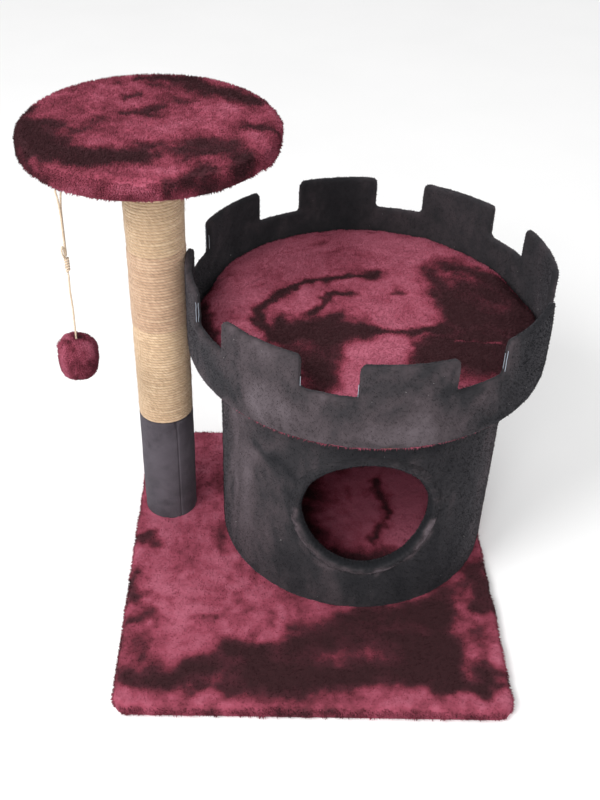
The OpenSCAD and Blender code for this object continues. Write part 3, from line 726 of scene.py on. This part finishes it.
def rounded_edge(radius, top, bottom, round_r, steps=5):
    """The profile of an edge: a quarter round from the top face down to a straight side."""
    quarter = [(radius - round_r * (1 - math.sin(a)), top - round_r * (1 - math.cos(a)))
               for a in np.linspace(0, math.pi / 2, steps)]
    return quarter + [(radius, bottom + 0.002), (radius - 0.002, bottom)]


perch_at, perch_r, perch_bottom, perch_top = stand("perch_cover")
backing_r = stand("perch_backing")[1]
crown = perch_top + 0.002
perch_round = 0.009
skin_r, skin_top = perch_r - 0.003, perch_top - 0.006
flat_part = [(r, crown) for r in np.linspace(0.003, perch_r - perch_round - 0.0015, 54)]
straight = [(perch_r, z) for z in np.linspace(crown - perch_round, perch_bottom + 0.002, 6)[1:]]
underside = [(r, perch_bottom) for r in np.linspace(perch_r - 0.002, backing_r + 0.001, 6)]
profile = [(0, crown), *flat_part, *rounded_edge(perch_r, crown, perch_bottom, perch_round, 7)[:-2], *straight,
           *underside, (backing_r + 0.001, perch_bottom + 0.0015), (skin_r, perch_bottom + 0.0018),
           (skin_r, skin_top), (0, skin_top)]
perch = turned("perch_plush", profile, perch_at, 380)
perch_strokes = [
    (((-138, -22), (-118, -46), (-85, -76), (-56, -95), (-27, -91), (-6, -86)), 22, -0.85),
    (((7, 131), (41, 113), (77, 84), (111, 56)), 17, -0.6),
    (((45, -72), (73, -60), (104, -83), (115, -105)), 17, -0.32),
    (((113, -9), (134, -19)), 9, -0.35), (((-28, 14), (-1, 20), (9, 31)), 10, -0.38),
    (((-37, 69), (-20, 81)), 7, -0.4), (((-32, 123), (-20, 121)), 6, -0.4),
    (((33, -141), (59, -130), (77, -121)), 8, -0.32), (((-140, 33), (-144, 15)), 9, -0.45),
    (((-93, -14), (-112, -4)), 9, -0.3), (((21, 71), (34, 54)), 10, -0.22),
    (((-30, -110), (20, -100)), 12, 0.12), (((60, 30), (90, 20)), 20, 0.1)]
points = points_of(perch)
off_axis = points[:, :2] - perch_at
far_out = lengths(off_axis)
side_share = np.clip((far_out - perch_r + 0.012) / 0.008, 0, 1)
lie = nap(points, 61, off_axis, perch_strokes, level=0.62)
lie = np.clip(lie + 0.12 * side_share * drift(points, 0.02, 66), 0, 1)
on_side = (points[:, 2] > perch_bottom + 0.0004) & (far_out > perch_r - 0.0022)
shown = on_side | (points[:, 2] > crown - 0.0002)
fluff(perch, lie, 0.0022, 62, shown.astype(float))
points = points_of(perch)
ragged = side_share * shown * (0.0012 * drift(points, 0.026, 67) + 0.0009 * drift(points, 0.009, 68))
points[:, :2] += off_axis / far_out.clip(1e-6)[:, None] * ragged[:, None]
move_to(perch, points)
wear(perch, burgundy)
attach(perch, "root")
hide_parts("perch_cover", "perch_pad")


def on_perch_top(points, normals):
    return (normals[:, 2] > 0.5) & (points[:, 2] > perch_top - 0.003)


def on_perch_side(points, normals):
    near_rim = lengths(points[:, :2] - perch_at) > 0.14
    return (normals[:, 2] < 0.7) & (normals[:, 2] > -0.75) & near_rim


pile("perch_pile", perch, burgundy_dyes, 22000, 0.0027, 71, keep=on_perch_top)
pile("perch_edge_pile", perch, burgundy_dyes, 16000, 0.0036, 72, keep=on_perch_side, comb=droop)


# ---- Den ----
# A cardboard barrel in short charcoal plush outside and burgundy plush inside, with a carpet and a
# ceiling of the same burgundy. The outer plush is rolled over padding round the entrance.

charcoal_colours = ((0.0, (0.012, 0.0125, 0.0145)), (0.35, (0.026, 0.0248, 0.0275)),
                    (0.65, (0.059, 0.0475, 0.0525)), (1.0, (0.117, 0.096, 0.107)))
charcoal = plush("charcoal_plush", charcoal_colours, speck=0.08, sheen=0.08, tint=(0.8, 0.74, 0.85),
                 fine=520.0, fuzz=0.5)
charcoal_dyes = dyes("charcoal_fibre", charcoal_colours, 6)
lint = [shader("lint", 0.9, Base_Color=(0.75, 0.72, 0.7, 1))[0]]

den_at, den_r, den_low, den_high = stand("den_cover")
wall_r = stand("den_wall")[1]
hole_x, rim_low, rim_high = stand("entrance_rim")[1:]
entrance_z, hole_z = (rim_low + rim_high) / 2, (rim_high - rim_low) / 2


def from_front(points):
    """Turns points into (way round the den from its front, height), in metres on its skin."""
    around = np.arctan2(points[:, 0] - den_at[0], den_at[1] - points[:, 1])
    return np.column_stack([around * den_r, points[:, 2]])


def changed(piece, kind, **settings):
    """Adds one modifier to a piece and applies it."""
    modifier = piece.modifiers.new(kind, kind)
    for name, value in settings.items():
        setattr(modifier, name, value)
    finished = bpy.data.meshes.new_from_object(piece.evaluated_get(bpy.context.evaluated_depsgraph_get()))
    piece.modifiers.clear()
    piece.data = finished
    finished.polygons.foreach_set("use_smooth", np.ones(len(finished.polygons), bool))
    return piece


def barrel_cloth(name, radius, low, high, cell):
    """A skin round the den with the entrance cut out of it."""
    columns, rows = round(math.tau * radius / cell), round((high - low) / cell)
    angle, height = np.meshgrid(tube_angles(columns), np.linspace(low, high, rows))
    angle, height = angle.ravel(), height.ravel()
    out_x, out_z = radius * np.sin(angle) / hole_x, (height - entrance_z) / hole_z
    reach = np.hypot(out_x, out_z)
    inside = (reach < 1) & (np.cos(angle) > 0)
    faces = grid_faces(rows, columns, True)
    faces = faces[~inside[faces].all(axis=1)]
    snapped = np.where(inside, 1 / reach.clip(1e-3), 1)
    flat_x = radius * np.sin(angle) * snapped
    angle = np.where(inside, np.arcsin(np.clip(flat_x / radius, -1, 1)), angle)
    height = np.where(inside, entrance_z + (height - entrance_z) * snapped, height)
    used, faces = np.unique(faces, return_inverse=True)
    points = np.column_stack([den_at[0] + radius * np.sin(angle), den_at[1] - radius * np.cos(angle), height])
    return meshed(name, points[used], faces.reshape(-1, 4))


# Strokes on the den's plush. The wide pale stroke on its left is a painted sheen, and the two thin pale
# strokes round the entrance's lower edge are the roll's painted highlight running onto the cover.
den_strokes_and_painted_light = [
    (((-175, 60), (-185, 170), (-195, 270)), 34, 0.24), (((-150, 240), (-110, 232), (-96, 222)), 9, -0.3),
    (((-170, 190), (-150, 235), (-120, 262)), 10, 0.15), (((-118, 150), (-130, 110)), 22, 0.14),
    (((0, 75), (60, 72)), 40, -0.16), (((120, 60), (140, 260)), 40, -0.14),
    (((-40, 285), (90, 285)), 14, -0.2),
    (((-96, 190), (-92, 130)), 9, -0.15), (((92, 230), (120, 180)), 12, 0.12),
    (((20, 80), (62, 102), (88, 140)), 5, 0.3), (((-80, 125), (-50, 96), (0, 82)), 6, 0.16)]
den_cover = barrel_cloth("den_plush", den_r - 0.0004, den_low, den_high, 0.0029)
points = points_of(den_cover)
flat = from_front(points)
lie = nap(points * [1, 1, 0.45], 81, flat, den_strokes_and_painted_light, level=0.43, swirl=0.12, patch=0.06)
back_seam = np.exp(-((np.pi * den_r - abs(flat[:, 0])) / 0.0022) ** 2)
fluff(den_cover, np.clip(lie - 0.3 * back_seam, 0, 1), 0.0007, 82)
raise_skin(den_cover, -0.0016 * back_seam)
wear(den_cover, charcoal)

pile("den_pile", den_cover, charcoal_dyes, 42000, 0.0017, 91, lean=1.0, width=0.0008, comb=droop,
     mix=0.02)
pile("den_lint", den_cover, lint, 70, 0.0011, 92, lean=2.0, width=0.0005)
changed(den_cover, "SOLIDIFY", thickness=den_r - wall_r - 0.0008, offset=-1)
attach(den_cover, "root")
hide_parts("den_cover")

lining_r, lining_low, lining_high = stand("den_lining")[1:]
lining_r -= 0.003
lining = barrel_cloth("den_lining_plush", lining_r, lining_low, lining_high, 0.0036)
points = points_of(lining)
flat = from_front(points)
lining_strokes = [(((300, 60), (330, 140), (300, 220)), 16, -0.35), (((500, 60), (470, 200)), 20, -0.35),
                  (((-350, 80), (-330, 250)), 18, -0.35), (((-480, 60), (-500, 180)), 18, -0.3)]
lie = nap(points, 101, flat, lining_strokes, level=0.62)
raise_skin(lining, -0.0008 * drift(points, 0.01, 102))
mark(lining, "nap", lie)
wear(lining, burgundy)
changed(lining, "SOLIDIFY", thickness=0.0026, offset=1)
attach(lining, "root")
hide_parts("den_lining")


def plush_disc(name, node, shows_below, strokes, seed, level):
    """A round sheet of plush over a CAD disc, with its pile on one side."""
    radius, low, high = stand(node)[1:]
    radius -= 0.0004
    out = np.linspace(0, radius, round(radius / 0.0024))[1:]
    face, back = (low, high) if shows_below else (high, low)
    profile = [(0, face), *[(r, face) for r in out], (radius, back), (0, back)]
    piece = turned(name, profile, den_at, 420)
    if shows_below:
        piece.data.flip_normals()
    points = points_of(piece)
    on_face = (abs(points[:, 2] - face) < (high - low) / 4).astype(float)
    fluff(piece, nap(points, seed, points[:, :2] - den_at, strokes, level), 0.0012, seed + 20, on_face)
    wear(piece, burgundy)
    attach(piece, "root")
    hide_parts(node)
    return piece


# Strokes on the carpet. The wide dark stroke on its left and the wide dark band just inside the entrance are
# painted shade, and the pale stroke on its right is painted light where the lamp reaches in.
carpet_strokes_and_painted_light = [(((33, 43), (45, 13), (52, -16), (43, -49), (27, -80)), 8, -0.55),
                  (((-7, 16), (5, -37), (11, -73)), 14, -0.1), (((77, 43), (88, 5), (78, -40)), 20, 0.2),
                  (((-75, 70), (-78, -70)), 34, -0.6), (((-60, -122), (14, -126), (80, -116)), 26, -0.8),
                  (((112, -80), (126, -20)), 16, -0.4)]
carpet = plush_disc("den_carpet", "den_floor_carpet", False, carpet_strokes_and_painted_light, 111, 0.86)
plush_disc("den_ceiling", "den_ceiling_lining", True, (), 121, 0.7)


def in_carpet_view(points, normals):
    return (normals[:, 2] > 0.6) & (abs(points[:, 0] - den_at[0]) < 0.13)


pile("den_carpet_pile", carpet, burgundy_dyes, 12000, 0.0024, 131, keep=in_carpet_view)

# The padded roll round the entrance is a little gathered where it turns inwards.
steps, sides = 420, 26
turn, roll = np.meshgrid(tube_angles(steps), tube_angles(sides), indexing="ij")
turn, roll = turn.ravel(), roll.ravel()
on_oval = np.stack([hole_x * np.cos(turn), np.zeros_like(turn), hole_z * np.sin(turn)], axis=1)
gather = 0.00035 * np.cos(95 * turn + 2.5 * np.sin(3 * turn)) * np.clip(-np.cos(roll), 0, 1)
lump = 0.0007 * drift(on_oval + 0.01 * np.cos(roll)[:, None], 0.022, 141)
half_wide, half_deep = 0.0088 + gather + lump, 0.0083 + 0.5 * lump
roll_set_out, roll_set_in = 0.0016, 0.0024
across = half_wide * np.cos(roll) + roll_set_out
flat_x = (hole_x + across) * np.cos(turn)
height = entrance_z + (hole_z + across) * np.sin(turn)
radius = (wall_r - roll_set_in) + half_deep * np.sin(roll)
side_turn = np.arcsin(flat_x / radius)
points = np.column_stack([den_at[0] + flat_x, den_at[1] - radius * np.cos(side_turn), height])
faces = grid_faces(steps, sides, True)
first_ring = np.arange(sides)
faces = np.vstack([faces, band((steps - 1) * sides + first_ring, first_ring)])
rim = meshed("entrance_roll", points, faces[:, ::-1])
flat = from_front(points)
# A painted highlight runs along the roll's crest, strongest at the lower right, and the side of the roll that
# turns inwards is painted darker as painted shade.
crest_out = 0.006
crest_x, crest_z = hole_x + crest_out, hole_z + crest_out
crest = [(1000 * crest_x * math.cos(a), 1000 * (entrance_z + crest_z * math.sin(a)))
         for a in np.radians(np.arange(-178, -4, 12))]
painted_roll_highlight = [(crest[:9], 4.5, 0.22), (crest[8:], 4.5, 0.8)]
lie = nap(points, 142, flat, painted_roll_highlight, level=0.36, swirl=0.1)
painted_inner_shade = np.clip(-np.cos(roll) - 0.35, 0, 1)
fluff(rim, np.clip(lie - 0.9 * painted_inner_shade, 0, 1), 0.0006, 143)
wear(rim, charcoal)
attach(rim, "root")
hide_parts("entrance_rim")
pile("entrance_pile", rim, charcoal_dyes, 9000, 0.0018, 144, width=0.0007, mix=0.03)


# ---- Castle bed ----
# A round foam cushion on a fibreboard disc, all under burgundy plush that is pulled round the
# board's edge. It gives at the wall, and its pile is swept by hands and paws.

def stuffed(piece, voxel, held_below, pressure, cap):
    """Swells a pad as cloth under pressure, with its underside held and a cap on how far it moves."""
    changed(piece, "REMESH", mode="VOXEL", voxel_size=voxel)
    flat = points_of(piece)
    held = piece.vertex_groups.new(name="held")
    held.add(np.flatnonzero(flat[:, 2] < held_below).tolist(), 1.0, "REPLACE")
    cloth = piece.modifiers.new("cloth", "CLOTH")
    cloth.settings.vertex_group_mass = "held"
    cloth.settings.use_pressure = True
    cloth.settings.uniform_pressure_force = pressure
    cloth.settings.effector_weights.gravity = 0
    for step in range(1, 21):
        bpy.context.scene.frame_set(step)
    moved = np.zeros(len(flat) * 3, np.float32)
    result = piece.evaluated_get(bpy.context.evaluated_depsgraph_get()).to_mesh()
    result.vertices.foreach_get("co", moved)
    step_out = moved.reshape(-1, 3) - flat
    far = lengths(step_out)[:, None]
    piece.modifiers.clear()
    bpy.context.scene.frame_set(1)
    move_to(piece, flat + step_out * np.minimum(1, cap / np.maximum(far, 1e-9)))
    return changed(piece, "SUBSURF", levels=1)


bed_r, bed_bottom, bed_top = stand("bed_cover")[1:]
bed_crown, bed_hem_w = 0.008, 0.03
edge_z = bed_top - bed_crown
inner_z = bed_bottom + 0.006
hem_r = bed_r - bed_hem_w + 0.001
dome = [(r, edge_z - 0.001 + bed_crown * (1 - (r / bed_r) ** 3))
        for r in np.linspace(0.02, bed_r - 0.008, 14)]
profile = [(0, bed_top - 0.001), *dome,
           *rounded_edge(bed_r - 0.0006, edge_z - 0.0005, bed_bottom, 0.006)[1:],
           (hem_r, bed_bottom), (hem_r, inner_z), (0, inner_z)]
board_top = stand("bed_board")[3]
bed = stuffed(turned("bed_plush", profile, den_at, 420), 0.0052, board_top + 0.002, 3.0, 0.004)
bed_strokes_and_painted_highlight = [
    (((14, 63), (-26, 59), (-66, 44), (-102, 15), (-131, -12), (-134, -39), (-122, -69), (-97, -88)),
     6.5, -0.7),
    (((-13, 17), (-43, 22), (-64, -6), (-73, -27)), 6, -0.6),
    (((-94, -68), (-46, -62), (-18, -57)), 26, -0.85),
    (((-102, -38), (-97, -78)), 9, -0.5), (((-56, -37), (-33, -26)), 9, -0.45),
    (((-12, -56), (27, -64), (52, -65), (90, -54)), 7, -0.65), (((82, 82), (98, 8), (110, -34)), 14, -0.6),
    (((112, 92), (157, 78), (176, 70)), 14, -0.55), (((130, 38), (184, 26), (203, -11)), 30, -0.68),
    (((166, 66), (184, 44)), 14, -0.35),
    (((123, -28), (186, -38)), 33, -0.8), (((93, -80), (162, -84)), 22, -0.7),
    (((62, -106), (143, -116)), 26, -0.8), (((-89, -116), (-61, -161), (-77, -183)), 20, -0.6),
    (((-15, -103), (29, -98)), 17, 0.35), (((-36, -137), (-25, -177)), 13, 0.2),
    (((-50, -90), (-58, -138)), 19, -0.6), (((37, 18), (49, 18)), 5, -0.35),
    # The thin pale stroke along the crease is a painted highlight on its ridge.
    (((96, -80), (128, -83), (164, -85)), 2.2, 0.8),
    (((-206, 62), (-210, 0), (-201, -62), (-184, -104)), 15, -0.6),
    (((-60, 150), (-50, 152)), 6, -0.35), (((20, 190), (32, 188)), 5, -0.4)]
crease = [(((93, -74), (130, -77), (162, -79)), 3, 1.0)]
points = points_of(bed)
off_axis = points[:, :2] - den_at
far_out = lengths(off_axis)
# Its lower side is pulled tight on the board's edge and on its underside
side_r = bed_r - 0.0008
low_side = (far_out > 0.2) & (points[:, 2] < board_top + 0.004)
pushed_out = low_side & (side_r - far_out < points[:, 2] - bed_bottom)
tight = den_at + off_axis * (side_r / far_out.clip(0.1))[:, None]
points[:, :2] = np.where(pushed_out[:, None], tight, points[:, :2])
points[:, 2] = np.where(low_side & ~pushed_out & (far_out < side_r), bed_bottom, points[:, 2])
off_axis = points[:, :2] - den_at
far_out = lengths(off_axis)
bearing = np.degrees(np.arctan2(off_axis[:, 1], off_axis[:, 0]))
# It sinks in places where it meets the wall, each as (bearing, width in degrees, depth)
edge_w = 0.036
by_the_wall = (np.clip((far_out - bed_r + edge_w) / edge_w, 0, 1) ** 2
               * np.clip((points[:, 2] - board_top) / 0.02, 0, 1))
dents = ((16, 12, 0.018), (42, 14, 0.008), (161, 9, 0.017), (-60, 26, 0.006), (-120, 22, 0.005))
for toward, wide, sink in dents:
    turned_off = (bearing - toward + 180) % 360 - 180
    points[:, 2] -= sink * by_the_wall * np.exp(-(turned_off / wide) ** 2)
points[:, 2] -= 0.0026 * brushed(off_axis, crease) * (points[:, 2] > board_top)
move_to(bed, points)
lie = nap(points, 151, off_axis, bed_strokes_and_painted_highlight, level=0.82, swirl=0.14)
fluff(bed, lie, 0.0013, 152, (points[:, 2] > board_top + 0.003).astype(float))
wear(bed, burgundy)
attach(bed, "root")
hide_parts("bed_cover", "bed_foam")


def on_bed_top(points, normals):
    return (normals[:, 2] > 0.3) & (points[:, 2] > board_top + 0.006)


def on_bed_hem(points, normals):
    return (points[:, 2] < bed_bottom + 0.012) & (lengths(points[:, :2] - den_at) > den_r + 0.006)


pile("bed_pile", bed, burgundy_dyes, 46000, 0.0022, 161, keep=on_bed_top)
pile("bed_hem_pile", bed, burgundy_dyes, 7000, 0.0036, 162, keep=on_bed_hem, comb=droop)


# ---- Castle wall ----
# A strip of hardboard bent into a ring and sawn into merlons, nailed to the bed's board. Charcoal
# plush is folded over it, inside and out, and thin pale lines in the corners of the gaps are painted
# highlights on its edges.

def copy_of(name, *nodes):
    """A new piece with the shapes of CAD nodes."""
    both = bmesh.new()
    for node in nodes:
        both.from_mesh(frame["nodes"][node].data)
    mesh = bpy.data.meshes.new(name)
    both.to_mesh(mesh)
    both.free()
    return linked(name, mesh)


ring_r, ring_low, ring_high = stand("castle_cover")[1:]
castle = copy_of("castle_plush", "castle_cover", "castle_wall")
changed(castle, "REMESH", mode="VOXEL", voxel_size=0.0027)
changed(castle, "SMOOTH", factor=0.5, iterations=3)
points = points_of(castle)
flat = from_front(points)
outside = lengths(points[:, :2] - den_at) > ring_r - 0.004
# Strokes on the ring's plush; the two wide dark strokes on its right side are painted shade.
castle_strokes_and_painted_shade = [
    (((-110, 360), (-60, 345), (30, 342)), 30, 0.2), (((-100, 420), (-60, 400)), 20, 0.1),
    (((60, 405), (90, 390)), 10, -0.25), (((142, 325), (150, 390), (158, 435)), 30, -0.3),
    (((206, 325), (206, 440)), 40, -0.38), (((-20, 332), (30, 333)), 4, -0.15),
    (((100, 335), (130, 338)), 5, -0.25), (((-180, 350), (-230, 370)), 24, -0.15)]
lie = nap(points * [1, 1, 0.6], 171, flat, castle_strokes_and_painted_shade, level=0.52, swirl=0.11, patch=0.06)
# The inside of the ring is painted darker than its outside, as painted shade.
fluff(castle, np.where(outside, lie, lie * 0.7), 0.0006, 172)
wear(castle, charcoal)
pile("castle_pile", castle, charcoal_dyes, 46000, 0.0016, 181, lean=1.0, width=0.0008, comb=droop,
     mix=0.02)
pile("castle_lint", castle, lint, 70, 0.0011, 182, lean=2.0, width=0.0005)
# The plush is open below, where it was slipped over the strip
opened = bmesh.new()
opened.from_mesh(castle.data)
underside = [face for face in opened.faces if face.calc_center_median().z < ring_low + 0.0012]
bmesh.ops.delete(opened, geom=underside, context="FACES")
opened.to_mesh(castle.data)
opened.free()
changed(castle, "SOLIDIFY", thickness=0.0016, offset=-1)
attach(castle, "root")
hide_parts("castle_cover")

# In the corners of the gaps, thin pale lines are painted highlights where the plush's edges catch the light.
edge_highlight_paint = shader("painted_edge_highlight", 0.9, Base_Color=(0.26, 0.29, 0.34, 1))[0]
gap_half = 0.0317
highlight_w = 0.0009


def painted_highlight_line(number, gap, side, inset, low, high):
    """One painted highlight line on a merlon's side: the gap's middle in degrees, its side, the inset, and two
    heights.
    """
    height = np.linspace(low, high, 9)
    reach = ring_r - inset + 0.0005 * drift(np.column_stack([height] * 3), 0.006, 200 + number)
    middle = math.radians(gap)
    deep = np.sqrt(reach ** 2 - gap_half ** 2)
    line = np.column_stack([den_at[0] + deep * math.cos(middle) - side * gap_half * math.sin(middle),
                            den_at[1] + deep * math.sin(middle) + side * gap_half * math.cos(middle), height])
    line = smooth_run(line, 0.0015)
    piece = wear(twisted(f"painted_highlight_line_{number}", line, highlight_w, highlight_w, 0.01, 0.1, sides=6), edge_highlight_paint)
    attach(piece, "root")


painted_highlight_lines = [(-60, 1, 0.0022, 0.398, 0.425), (-60, 1, 0.0058, 0.4, 0.42), (210, -1, 0.0018, 0.397, 0.424),
             (210, -1, 0.0048, 0.396, 0.422), (-105, 1, 0.002, 0.396, 0.412), (165, -1, 0.002, 0.398, 0.43),
             (165, -1, 0.006, 0.399, 0.418), (-105, -1, 0.003, 0.397, 0.409)]
for number, highlight_place in enumerate(painted_highlight_lines, 1):
    painted_highlight_line(number, *highlight_place)


# ---- Pompom ----
# A ball of burgundy plush, squeezed a little square, that hangs on the single string. One loose
# tuft stands out of its seam near the top.

ball_low, ball_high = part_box("toy_pompom")
ball_at = np.array((ball_low + ball_high) / 2)
ball_half = np.array((ball_high - ball_low) / 2) - 0.0036
sphere = bmesh.new()
bmesh.ops.create_icosphere(sphere, subdivisions=6, radius=1)
ball_mesh = bpy.data.meshes.new("pompom")
sphere.to_mesh(ball_mesh)
sphere.free()
ball = linked("pompom", ball_mesh)
ball_mesh.polygons.foreach_set("use_smooth", np.ones(len(ball_mesh.polygons), bool))
way = points_of(ball)
squared = 2.6
way /= (abs(way) ** squared).sum(axis=1)[:, None] ** (1 / squared)
move_to(ball, ball_at + way * ball_half)
points = points_of(ball)
lump = 0.0014 * drift(points, 0.015, 191) + 0.0009 * drift(points, 0.007, 192)
lump -= 0.003 * np.exp(-(lengths((points - ball_at)[:, :2]) / 0.005) ** 2) * (way[:, 2] > 0)
raise_skin(ball, lump)
lie = nap(points * [1, 1, 0.5], 193, level=0.6, swirl=0.28, patch=0.018)
fluff(ball, lie, 0.0014, 194)
wear(ball, burgundy)
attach(ball, "toy")
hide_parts("toy_pompom")


def at_loose_tuft(points, normals):
    return lengths(points - ball_at - ball_half * [-0.8, -0.3, 0.78]) < 0.0045


pompom_pile = pile("pompom_pile", ball, burgundy_dyes, 11000, 0.0032, 195, body="toy")
pompom_tuft = pile("pompom_tuft", ball, burgundy_dyes, 160, 0.0068, 196, lean=0.35, width=0.0006,
                   keep=at_loose_tuft, body="toy")


# ---- Floor and light ----
# A wide pale floor in a white studio. A large soft lamp stands at the front left, a small weak
# one in front, and the white room fills the shadows.

floor_half = 30
floor_corners = [[x * floor_half, y * floor_half, 0] for x, y in ((-1, -1), (1, -1), (1, 1), (-1, 1))]
floor = meshed("floor", floor_corners, np.array([[0, 1, 2, 3]]))
floor_paint, floor_nodes, floor_surface, floor_link = shader("floor_paint", 0.9, Specular_IOR_Level=0.1)
where = floor_nodes.new("ShaderNodeTexCoord").outputs["Object"]
whites = ((0.3, (0.96, 0.96, 0.96)), (0.7, (0.98, 0.98, 0.98)))
floor_link(ramp(floor_nodes, floor_link, noise(floor_nodes, floor_link, where, 3.0, 2), whites),
           floor_surface.inputs["Base Color"])
wear(floor, floor_paint)
floor.location.z = -0.0005

studio = bpy.data.worlds.new("studio")
studio.use_nodes = True
studio.node_tree.nodes["Background"].inputs["Color"].default_value = (1, 1, 1, 1)
studio.node_tree.nodes["Background"].inputs["Strength"].default_value = 0.82
bpy.context.scene.world = studio


def lamp(name, place, target, size, power):
    """A round soft lamp of a given width that faces a target."""
    light = bpy.data.lights.new(name, "AREA")
    light.shape = "DISK"
    light.size = size
    light.energy = power
    holder = linked(name, light)
    holder.location = place
    holder.rotation_euler = (Vector(target) - Vector(place)).to_track_quat("-Z", "Y").to_euler()


lamp("key_lamp", (-1.4, -1.3, 2.2), (0, 0, 0.25), 1.1, 50.0)
lamp("front_lamp", (-0.3, -1.3, 1.2), (0.06, 0, 0.15), 0.5, 8.0)
bpy.context.scene.view_settings.view_transform = "Standard"
